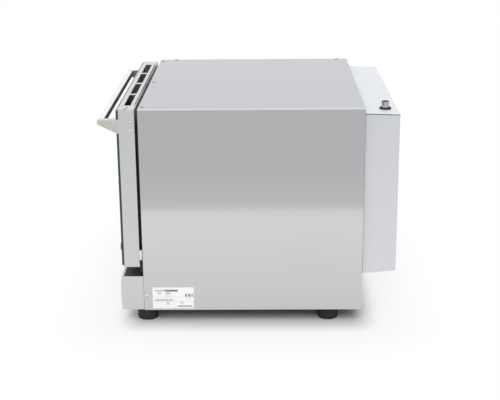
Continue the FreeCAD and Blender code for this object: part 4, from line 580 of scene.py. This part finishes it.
material, shader, place = start("lamp_glass", IOR=GLASS_IOR)
frost = place.noise(FROST_SCALE, detail=3.0)
feed(shader, Base_Color=frost.mix(*FROST_TONES), Roughness=0.25 + frost * 0.2,
     Alpha=0.55 + frost * 0.3, Normal=frost.bump(FROST_DEPTH, strength=0.4))
finishes["lamp_glass"] = material

material, shader, place = start("display", Coat_Weight=0.5)
smear = place.noise(WINDOW_SMEAR, detail=4.0)
feed(shader, Base_Color=smear.mix(*WINDOW_TONES), Roughness=0.06 + smear * 0.07)
finishes["display"] = material
print("all finishes:", len(finishes))

# %% [markdown]
# ## Dressing the solids
# Each solid's record says which finish it takes, so one loop dresses them all. They could be dressed
# one by one, but then a solid that is added later would stay bare.

# %% Assign finishes
for part in frame["record"]["subparts"]:
    for slot in frame["nodes"][part["node"]].material_slots:
        slot.material = finishes[part["material_slot"]]

# %% [markdown]
# ## Small shapes and how they are placed
# New pieces start from one of bmesh's own shapes. A helper turns a finished bmesh into an object that
# rides on a body of the oven, and another repeats a shape at several places in one mesh. The shapes
# themselves are few: a block, a rounded edge and a low disc with a rounded rim.

# %% Piece helpers
SHARP = math.radians(40)
UP, FRONT, BACK = Vector((0, 0, 1)), Vector((0, -1, 0)), Vector((0, 1, 0))


def piece(name, mesh, body, *materials, slot=None):
    """Object made from a bmesh, riding on a body, with its place in its mesh."""
    data = bpy.data.meshes.new(name)
    mesh.to_mesh(data)
    mesh.free()
    data.shade_smooth()
    data.set_sharp_from_angle(angle=SHARP)
    thing = bpy.data.objects.new(name, data)
    bpy.context.scene.collection.objects.link(thing)
    for material in materials:
        data.materials.append(material)
    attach(thing, body)
    return thing


def repeat(mesh, places):
    """One bmesh with a copy of a shape at each place."""
    shape = bpy.data.meshes.new("shape")
    mesh.to_mesh(shape)
    mesh.free()
    whole = bmesh.new()
    for place in places:
        known = len(whole.verts)
        whole.from_mesh(shape)
        whole.verts.ensure_lookup_table()
        bmesh.ops.transform(whole, matrix=place, verts=whole.verts[known:])
    bpy.data.meshes.remove(shape)
    return whole


def facing(place, outward):
    """Placement that turns a shape's +Z to an outward direction, with its foot at a place."""
    turn = UP.rotation_difference(Vector(outward))
    return Matrix.Translation(place) @ turn.to_matrix().to_4x4()


print("edges stay sharp from", round(math.degrees(SHARP)), "degrees")

# %% Shape helpers
def bar(mesh, size, place):
    """Add a square-edged block of a size at a place."""
    bmesh.ops.create_cube(mesh, size=1, matrix=place @ Matrix.Diagonal((*size, 1)))


def soften(mesh, edges, radius, steps):
    """Round edges off with a bevel."""
    bmesh.ops.bevel(mesh, geom=edges, offset=radius, segments=steps, profile=0.5,
                    affect="EDGES", material=-1)


def rounded_disc(radius, top_radius, height, segments, rounding, steps):
    """Low cone that stands on z = 0, with its upper rim rounded."""
    mesh = bmesh.new()
    bmesh.ops.create_cone(mesh, cap_ends=True, segments=segments, radius1=radius, radius2=top_radius,
                          depth=height, matrix=Matrix.Translation((0, 0, height / 2)))
    rim = [edge for edge in mesh.edges if all(vert.co.z > height / 2 for vert in edge.verts)]
    soften(mesh, rim, rounding, steps)
    return mesh


print("shapes:", ", ".join(shape.__name__ for shape in (bar, soften, rounded_disc)))

# %% [markdown]
# ## Screw heads
# The sheets are held by small cross-head screws of three kinds: broad flat heads on top of the casing,
# smaller flat heads on the door's lid, and domed heads on the sides. A head is a short cone whose top edge
# is rounded with a bevel, and its cross is two dark bars, painted shade of the recess. The flat heads also
# have painted shade on their flanks. Faces are marked before the bars are added, so that both get their
# colour.

# %% Screw head
HEAD_SEGMENTS = 28
HEAD_ROUND = 0.45
CROSS_FLAT = 8
FLANK_SLOPE = 0.8
BROAD_HEAD = dict(radius=5.8 * MM, height=1.3 * MM, cross=3.6 * MM, cross_width=0.9 * MM, shaded_flank=True)
FLAT_HEAD = dict(radius=4.3 * MM, height=1.8 * MM, cross=3.6 * MM, cross_width=0.9 * MM, shaded_flank=True)
DOMED_HEAD = dict(radius=4.3 * MM, height=1.9 * MM, cross=3.4 * MM, cross_width=1.6 * MM, crown=0.5)

# painted shade for the screws' cross recesses and the flat heads' flanks
painted_screw_shade = moulded("painted_screw_shade", tone=(0.02, 0.02, 0.02), rough=0.6, pebble=0.5, depth=0.01)


def screw_head(radius, height, cross, cross_width, crown=0.86, shaded_flank=False):
    """Pan head with the length and width of the bars of its cross. The crown is the share of the
    radius that is left at the top, so a low value makes a domed head."""
    mesh = rounded_disc(radius, radius * crown, height, HEAD_SEGMENTS, height * HEAD_ROUND, steps=3)
    mesh.normal_update()
    # painted shade: the cross bars, and the flank faces of flat heads, take the dark finish
    bright = {face for face in mesh.faces if not shaded_flank or abs(face.normal.z) > FLANK_SLOPE}
    for turn in (math.pi / 4, -math.pi / 4):
        top = Matrix.Translation((0, 0, height)) @ Matrix.Rotation(turn, 4, "Z")
        bar(mesh, (cross, cross_width, cross_width / CROSS_FLAT), top)
    for face in mesh.faces:
        face.material_index = 0 if face in bright else 1
    return mesh


def screws(name, head, places, body):
    """Screw heads of one kind at several places of a body."""
    mesh = repeat(screw_head(**head), places)
    return piece(name, mesh, body, finishes["bright_bolts"], painted_screw_shade, slot="bright_bolts")


print("widest head, mm:", round(2 * BROAD_HEAD["radius"] / MM, 1))

# %% [markdown]
# ## Screws of the casing and the door
# Screws hold the casing along the front and the far edge of its top, and low on both sides. The door
# has two on each side and two near one end of its lid. Where the solids have plain studs, the heads take
# their place.

# %% Screws of the casing and the door
BOTH_SIDES = (-1, 1)
STUD_RADIUS = 4.4 * MM
TOP_SCREW_SIDE = 358 * MM
TOP_SCREW_BACK = 10 * MM
EDGE_SCREWS = (54 * MM, 603 * MM)
EDGE_SCREW_IN = 9 * MM
SIDE_SCREW_BACK, SIDE_SCREW_UP = 7.4 * MM, 43 * MM
LID_SCREWS = [(350 * MM, 23 * MM), (371 * MM, 19.5 * MM)]

top_places = [facing((side, case_low.y + TOP_SCREW_BACK, case_high.z), UP)
              for side in (-TOP_SCREW_SIDE, 0, TOP_SCREW_SIDE)]
top_places += [facing((case_low.x + EDGE_SCREW_IN, case_low.y + back, case_high.z), UP)
               for back in EDGE_SCREWS]
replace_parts(screws("casing_screw_heads", BROAD_HEAD, top_places, "casing"), "casing_screws")
side_spot = Vector((case_high.x, case_low.y + SIDE_SCREW_BACK, case_low.z + SIDE_SCREW_UP))
side_places = [facing((sign * side_spot.x, *side_spot.yz), (sign, 0, 0)) for sign in BOTH_SIDES]
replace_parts(screws("side_screw_heads", DOMED_HEAD, side_places, "casing"), "casing_screws")

stud_low, stud_high = box_of("door_screws")
door_low, door_high = box_of("door_shell")
stud_forward = (stud_low.y + stud_high.y) / 2
door_places = [facing((sign * door_high.x, stud_forward, height), (sign, 0, 0))
               for sign in BOTH_SIDES for height in (stud_low.z + STUD_RADIUS, stud_high.z - STUD_RADIUS)]
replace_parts(screws("door_screw_heads", DOMED_HEAD, door_places, "door"), "door_screws")
lid_places = [facing((side, door_low.y + back, door_high.z), UP) for side, back in LID_SCREWS]
screws("door_lid_screw_heads", FLAT_HEAD, lid_places, "door")
print("screw heads:", len(top_places + side_places + door_places + lid_places))

# %% [markdown]
# ## Screws at the back and in the oven
# The back panel is screwed to the casing all round, the motor cover through its own back, and the plate
# before the fans to its four posts. The cover's screws are countersunk, so the same head is sunk into
# the sheet until only its top shows.

# %% Screws of the back and the fan plate
RIM = 12 * MM
COUNTERSINK = 1.6 * MM
COVER_SCREW_IN = 18 * MM
POST_IN = 15 * MM

back_low, back_high = box_of("rear_panel")
hood_low, hood_high = box_of("rear_cover")
plate_low, plate_high = box_of("fan_baffle")


def spread(low, high, count):
    """Evenly spaced values between two ends."""
    return [low + (high - low) * step / (count - 1) for step in range(count)]


rim_side, rim_low, rim_high = back_high.x - RIM, back_low.z + RIM, (hood_high.z + back_high.z) / 2
rim_spots = [(side, height) for side in spread(-rim_side, rim_side, 4) for height in (rim_low, rim_high)]
rim_spots += [(side, height) for side in (-rim_side, rim_side)
              for height in spread(rim_low, rim_high, 4)[1:3]]
back_places = [facing((side, back_high.y, height), BACK) for side, height in rim_spots]
screws("back_screw_heads", DOMED_HEAD, back_places, "casing")
cover_places = [facing((side, hood_high.y - COUNTERSINK, height), BACK)
                for side in (hood_low.x + COVER_SCREW_IN, hood_high.x - COVER_SCREW_IN)
                for height in spread(hood_low.z + COVER_SCREW_IN, hood_high.z - COVER_SCREW_IN, 3)]
screws("cover_screw_heads", FLAT_HEAD, cover_places, "casing")
post_places = [facing((side, plate_low.y, height), FRONT)
               for side in (plate_low.x + POST_IN, plate_high.x - POST_IN)
               for height in (plate_low.z + POST_IN, plate_high.z - POST_IN)]
screws("fan_plate_screw_heads", FLAT_HEAD, post_places, "casing")
print("screws at the back and inside:", len(back_places + cover_places + post_places))

# %% [markdown]
# ## Caps on the glass
# Two black caps press the outer glass to the door near its lower corners. A cap is a low cone with its
# front edge rounded by a bevel, and inset_region dishes its face. They replace the solids' plain caps.

# %% Glass caps
CAP_HEIGHT = 7 * MM
CAP_TAPER = 0.96
CAP_SEGMENTS = 48
CAP_ROUND = 3 * MM
CAP_RIM = 2.6 * MM
CAP_DISH = -0.9 * MM

cap_low, cap_high = box_of("glass_caps")
cap_radius = (cap_high.z - cap_low.z) / 2
mesh = rounded_disc(cap_radius, cap_radius * CAP_TAPER, CAP_HEIGHT, CAP_SEGMENTS, CAP_ROUND, steps=5)
front_face = max(mesh.faces, key=lambda face: face.calc_center_median().z)
bmesh.ops.inset_region(mesh, faces=[front_face], thickness=CAP_RIM, depth=CAP_DISH)
cap_places = [facing((sign * (cap_high.x - cap_radius), pane_low.y, cap_low.z + cap_radius), FRONT)
              for sign in BOTH_SIDES]
caps = piece("door_glass_caps", repeat(mesh, cap_places), "door", finishes["black_plastic"],
             slot="black_plastic")
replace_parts(caps, "glass_caps")
print("glass caps stand out, mm:", round(CAP_HEIGHT / MM, 1))

# %% [markdown]
# ## Seams and sealant
# Where one sheet meets another there is a dark line: a bead of black sealing compound round the motor
# cover and the bead that beds the door's outer glass, and painted shade in the open joint along the
# cover's lid and in the joint behind the control panel's ends. Thin square bars from point to point are
# enough for them.

# %% Sealant and painted gap shade of the motor cover
BEAD = 2.8 * MM
JOINT = 1.3 * MM
LID_JOINT = 1.8 * MM
HOOD_SIDE_TAPER = 3 * MM
HOOD_TOP_TAPER = 4 * MM


def beam(mesh, begin, end, width):
    """Square bar from one point to another."""
    run = Vector(end) - Vector(begin)
    turn = run.to_track_quat("Z", "X").to_matrix().to_4x4()
    bar(mesh, (width, width, run.length), Matrix.Translation((Vector(begin) + Vector(end)) / 2) @ turn)


sealant_and_gap_shade = moulded("sealant_and_gap_shade", tone=(0.025, 0.025, 0.027), rough=0.55, pebble=1.0, depth=0.02)
mesh = bmesh.new()
ring_back = hood_low.y + BEAD / 2
for sign in BOTH_SIDES:
    edge = sign * hood_high.x
    beam(mesh, (edge, ring_back, hood_low.z), (edge, ring_back, hood_high.z), BEAD)
    # painted shade: a dark bar in the open joint along the cover's lid
    seam = Vector((sign * (hood_high.x - LID_JOINT / 4), hood_low.y, hood_high.z - JOINT))
    run = Vector((-sign * HOOD_SIDE_TAPER, hood_high.y - hood_low.y, -HOOD_TOP_TAPER))
    beam(mesh, seam, seam + run, LID_JOINT)
for height in (hood_low.z, hood_high.z):
    beam(mesh, (hood_low.x, ring_back, height), (hood_high.x, ring_back, height), BEAD)
piece("cover_sealant", mesh, "casing", sealant_and_gap_shade)
hood_round = 2 * (hood_high.x - hood_low.x + hood_high.z - hood_low.z)
print("bead round the motor cover, mm:", round(hood_round / MM))

# %% Joints of the panel and the door glass
GLAZING = 1.5 * MM

ends_low, ends_high = box_of("panel_end_caps")
mesh = bmesh.new()
# painted shade: a dark bar in the joint behind each end of the control panel
for sign in BOTH_SIDES:
    edge = Vector((sign * ends_high.x, case_low.y - JOINT / 2, 0))
    beam(mesh, edge + UP * ends_low.z, edge + UP * ends_high.z, JOINT)
piece("panel_joint", mesh, "casing", sealant_and_gap_shade)

mesh = bmesh.new()
for sign in BOTH_SIDES:
    edge = Vector((sign * (door_high.x - GLAZING / 4), pane_high.y + GLAZING / 2, 0))
    for begin, end in ((pane_low.z, bracket_low.z), (bracket_high.z, pane_high.z)):
        beam(mesh, edge + UP * begin, edge + UP * end, GLAZING)
piece("glazing_bead", mesh, "door", sealant_and_gap_shade)
print("joint behind the panel's ends, mm:", round((ends_high.z - ends_low.z) / MM))

# %% [markdown]
# ## Door buffers
# On the door's back, beside the hinges, two white nylon buffers keep the steel sheets apart. They are
# small moulded blocks, so all the edges of a bar are rounded at once.

# %% Buffers
BUFFER = (9 * MM, 7.4 * MM, 29 * MM)
BUFFER_ROUND = 1.2 * MM
BUFFER_SIDE = 371.5 * MM
BUFFER_UP = 200.5 * MM

nylon = moulded("nylon", tone=(0.92, 0.92, 0.91), rough=0.45, pebble=0.8, depth=0.02, dust=0.02)
mesh = bmesh.new()
for sign in BOTH_SIDES:
    bar(mesh, BUFFER, Matrix.Translation((sign * BUFFER_SIDE, door_high.y + BUFFER[1] / 2, BUFFER_UP)))
soften(mesh, mesh.edges[:], BUFFER_ROUND, steps=3)
piece("door_buffers", mesh, "door", nylon)
print("buffers, mm thick:", round(BUFFER[1] / MM, 1))

# %% [markdown]
# ## Paper label
# A white paper label is stuck low on the side near the front. It stays blank: only ruled bars of
# different lengths, as on a form that nobody has filled in. The sheet is a thin plate with rounded
# corners, and each bar is worked out from the place on it.

# %% Label sheet
LABEL_FRONT, LABEL_BACK = 25 * MM, 146 * MM
LABEL_LOW, LABEL_HIGH = 5 * MM, 71 * MM
LABEL_THICK = 0.25 * MM
LABEL_CORNER = 2 * MM

label_size = (LABEL_THICK, LABEL_BACK - LABEL_FRONT, LABEL_HIGH - LABEL_LOW)
label_middle = Vector((case_high.x + LABEL_THICK / 2, case_low.y + (LABEL_FRONT + LABEL_BACK) / 2,
                       case_low.z + (LABEL_LOW + LABEL_HIGH) / 2))
label_mesh = bmesh.new()
bar(label_mesh, label_size, Matrix.Translation(label_middle))
corners = [edge for edge in label_mesh.edges
           if abs(edge.verts[0].co.x - edge.verts[1].co.x) > LABEL_THICK / 2]
soften(label_mesh, corners, LABEL_CORNER, steps=4)
print("label, mm:", round(label_size[1] / MM), "x", round(label_size[2] / MM))

# %% [markdown]
# ## Ruled bars on the label
# Each bar is a product of two comparisons, one along the label and one up it, and the sum of all bars is
# the ink. Slanting dashes thin the ink out, so that the bars look printed and not painted.

# %% Label print
# left, low, width and height in millimetres, then the strength of the ink
LABEL_BARS = [
    (7, 53, 28, 5, 0.6), (36, 52.5, 38, 6.5, 1.0), (14, 45.5, 12, 3.4, 0.8), (38, 45.5, 15, 3.4, 0.9),
    (38, 38, 22, 2.4, 0.55), (95.5, 36.5, 5, 9, 1.0), (104, 36.5, 7, 9, 1.0), (114, 36.5, 4, 9, 0.9),
    (7, 24, 52, 4.4, 0.7), (40, 11, 9, 10, 0.4), (82, 13, 8, 9, 0.35), (74, 5, 42, 3.6, 0.95),
    (4, 33.5, 113, 0.6, 0.5), (4, 21, 113, 0.6, 0.5), (62, 4, 0.6, 29, 0.5),
]
DASH_ALONG, DASH_UP, DASH_GAP = 900, 300, 0.35
PAPER_TONES, PAPER_FIBRE = (grey(0.94), grey(0.98)), 700.0
INK = grey(0.03)

paper, shader, place = start("label_paper", Roughness=0.55, Coat_Weight=0.15)
along = place.axis("Y") - (case_low.y + LABEL_FRONT)
up = place.axis("Z") - (case_low.z + LABEL_LOW)


def ruled(left, low, width, height, strength):
    """Strength of the ink inside a printed bar, in millimetres from the label's lower front corner."""
    inside_along = abs(along - (left + width / 2) * MM) < width / 2 * MM
    inside_up = abs(up - (low + height / 2) * MM) < height / 2 * MM
    return inside_along * inside_up * strength


dash = ((along * DASH_ALONG + up * DASH_UP) % 1.0) > DASH_GAP
ink = sum(ruled(*one) for one in LABEL_BARS) * (0.6 + dash * 0.4)
fibre = place.noise(PAPER_FIBRE, detail=3.0)
feed(shader, Base_Color=(ink * (0.8 + fibre * 0.2)).mix(fibre.mix(*PAPER_TONES), INK))
piece("blank_label", label_mesh, "casing", paper)
print("ruled bars:", len(LABEL_BARS))

# %% [markdown]
# ## Prints round the dial
# The dial has a white pointer and a ring of ticks round it. They are raised prints a fraction of a
# millimetre thick. The panel is bowed, so each tick is set back by the depth of the bow at its height.

# %% Print helpers
PRINT = 0.25 * MM
PRINT_FLECK = 1500.0


def printed(name, dark, light):
    """Matt ink with fine flecks between two greys."""
    material, shader, place = start(name, Roughness=0.5)
    feed(shader, Base_Color=place.noise(PRINT_FLECK).mix(grey(dark), grey(light)))
    return material


def front_spot(node):
    """Middle of a solid's front face."""
    low, high = box_of(node)
    return Vector(((low.x + high.x) / 2, low.y, (low.z + high.z) / 2))


def stroke(mesh, width, length, spot, turn=0.0):
    """Raised line of print at a spot, upright unless it is turned."""
    bar(mesh, (width, 2 * PRINT, length), Matrix.Translation(spot) @ Matrix.Rotation(turn, 4, "Y"))


print_white = printed("print_white", 0.66, 0.8)
print_dark = printed("print_dark", 0.03, 0.06)
print("inks:", print_white.name, print_dark.name)

# %% Dial ticks and pointer
BOW = 480 * MM
TICKS = 11
TICK_RADIUS = 27 * MM
TICK_SPAN = math.radians(270)
TICK_WIDTH, TICK_LENGTH, LONG_TICK = 0.9 * MM, 3 * MM, 5 * MM
LONG_TICK_EVERY = 5
POINTER_WIDTH, POINTER_LENGTH, POINTER_UP = 1.6 * MM, 9 * MM, 11 * MM

panel_low, panel_high = box_of("panel_fascia")
panel_middle = (panel_low.z + panel_high.z) / 2


def panel_front(height):
    """How far forward the bowed panel stands at a height."""
    return panel_low.y + BOW - math.sqrt(BOW ** 2 - (height - panel_middle) ** 2)


dial = front_spot("dial_knob")
mesh = bmesh.new()
for step in range(TICKS):
    turn = TICK_SPAN * (step / (TICKS - 1) - 0.5)
    height = dial.z + TICK_RADIUS * math.cos(turn)
    spot = Vector((dial.x + TICK_RADIUS * math.sin(turn), panel_front(height), height))
    stroke(mesh, TICK_WIDTH, TICK_LENGTH if step % LONG_TICK_EVERY else LONG_TICK, spot, turn)
piece("dial_ticks", mesh, "casing", print_dark)

mesh = bmesh.new()
stroke(mesh, POINTER_WIDTH, POINTER_LENGTH, dial + UP * POINTER_UP)
piece("dial_pointer", mesh, "dial", print_white)
print("ticks round the dial:", TICKS)

# %% [markdown]
# ## Signs on the buttons
# Each button has a raised sign: a ring with a bar through its top for power, a ring with rays for the
# lamp, a clock with two hands for the timer and a triangle for start. A ring is two circles that
# bridge_loops joins, then drawn out by the print's thickness. A sign rides on its button, so that it
# moves in with it.

# %% Button signs
SIGN_RADIUS, RING_INNER = 4.2 * MM, 3.4 * MM
RING_SEGMENTS = 32
POWER_WIDTH, POWER_LENGTH = 1.0 * MM, 4.0 * MM
RAY_WIDTH, RAY_LENGTH, RAY_TURN = 0.5 * MM, 12 * MM, 45
HAND_WIDTH, LONG_HAND, SHORT_HAND = 0.7 * MM, 3.0 * MM, 2.4 * MM
LONG_HAND_UP, SHORT_HAND_ASIDE = 1.2 * MM, 1.0 * MM


def ring(mesh, spot):
    """Flat raised ring in a mesh that is still empty: two circles bridged and drawn out."""
    for radius in (SIGN_RADIUS, RING_INNER):
        bmesh.ops.create_circle(mesh, segments=RING_SEGMENTS, radius=radius, matrix=facing(spot, FRONT))
    faces = bmesh.ops.bridge_loops(mesh, edges=mesh.edges[:])["faces"]
    made = bmesh.ops.extrude_face_region(mesh, geom=faces)
    moved = [item for item in made["geom"] if isinstance(item, bmesh.types.BMVert)]
    bmesh.ops.translate(mesh, vec=FRONT * PRINT, verts=moved)
    bmesh.ops.recalc_face_normals(mesh, faces=mesh.faces[:])


def power_sign(mesh, spot):
    ring(mesh, spot)
    stroke(mesh, POWER_WIDTH, POWER_LENGTH, spot + UP * RING_INNER)


def lamp_sign(mesh, spot):
    ring(mesh, spot)
    for turn in range(0, 180, RAY_TURN):
        stroke(mesh, RAY_WIDTH, RAY_LENGTH, spot, math.radians(turn))


def timer_sign(mesh, spot):
    ring(mesh, spot)
    stroke(mesh, HAND_WIDTH, LONG_HAND, spot + UP * LONG_HAND_UP)
    stroke(mesh, SHORT_HAND, HAND_WIDTH, spot + Vector((SHORT_HAND_ASIDE, 0, 0)))


def start_sign(mesh, spot):
    pointing_right = facing(spot, FRONT) @ Matrix.Rotation(-math.pi / 2, 4, "Z")
    bmesh.ops.create_cone(mesh, cap_ends=True, segments=3, radius1=SIGN_RADIUS, radius2=SIGN_RADIUS,
                          depth=2 * PRINT, matrix=pointing_right)


SIGNS = {"power": power_sign, "lamp": lamp_sign, "timer": timer_sign, "start": start_sign}
for use, draw_sign in SIGNS.items():
    mesh = bmesh.new()
    draw_sign(mesh, front_spot(f"button_{use}"))
    piece(f"button_{use}_sign", mesh, f"{use}_button", print_white)
print("signs:", ", ".join(SIGNS))

# %% [markdown]
# ## The display
# The display waits for a setting: four dashes and a colon glow amber in the dark window. They are thin
# blocks on the window's face, with an emission whose tone changes slightly from place to place.

# %% Display dashes
DASH_LENGTH, DASH_HIGH, DASH_PITCH = 13 * MM, 2.2 * MM, 24 * MM
COLON_UP = 5 * MM
GLOW_TONES, GLOW_SCALE = (colour(0.75, 0.16, 0.02), colour(0.9, 0.22, 0.03)), 300.0

glow_amber, shader, place = start("display_glow", Base_Color=grey(0.02), Roughness=0.3,
                                  Emission_Strength=1.0)
feed(shader, Emission_Color=place.noise(GLOW_SCALE).mix(*GLOW_TONES))
screen = front_spot("display_lens")
mesh = bmesh.new()
for step in (-1.5, -0.5, 0.5, 1.5):
    stroke(mesh, DASH_LENGTH, DASH_HIGH, screen + Vector((step * DASH_PITCH, 0, 0)))
for lift in (-COLON_UP, COLON_UP):
    stroke(mesh, DASH_HIGH, DASH_HIGH, screen + UP * lift)
piece("display_dashes", mesh, "casing", glow_amber, slot="display")
print("dashes, mm apart:", round(DASH_PITCH / MM))

# %% [markdown]
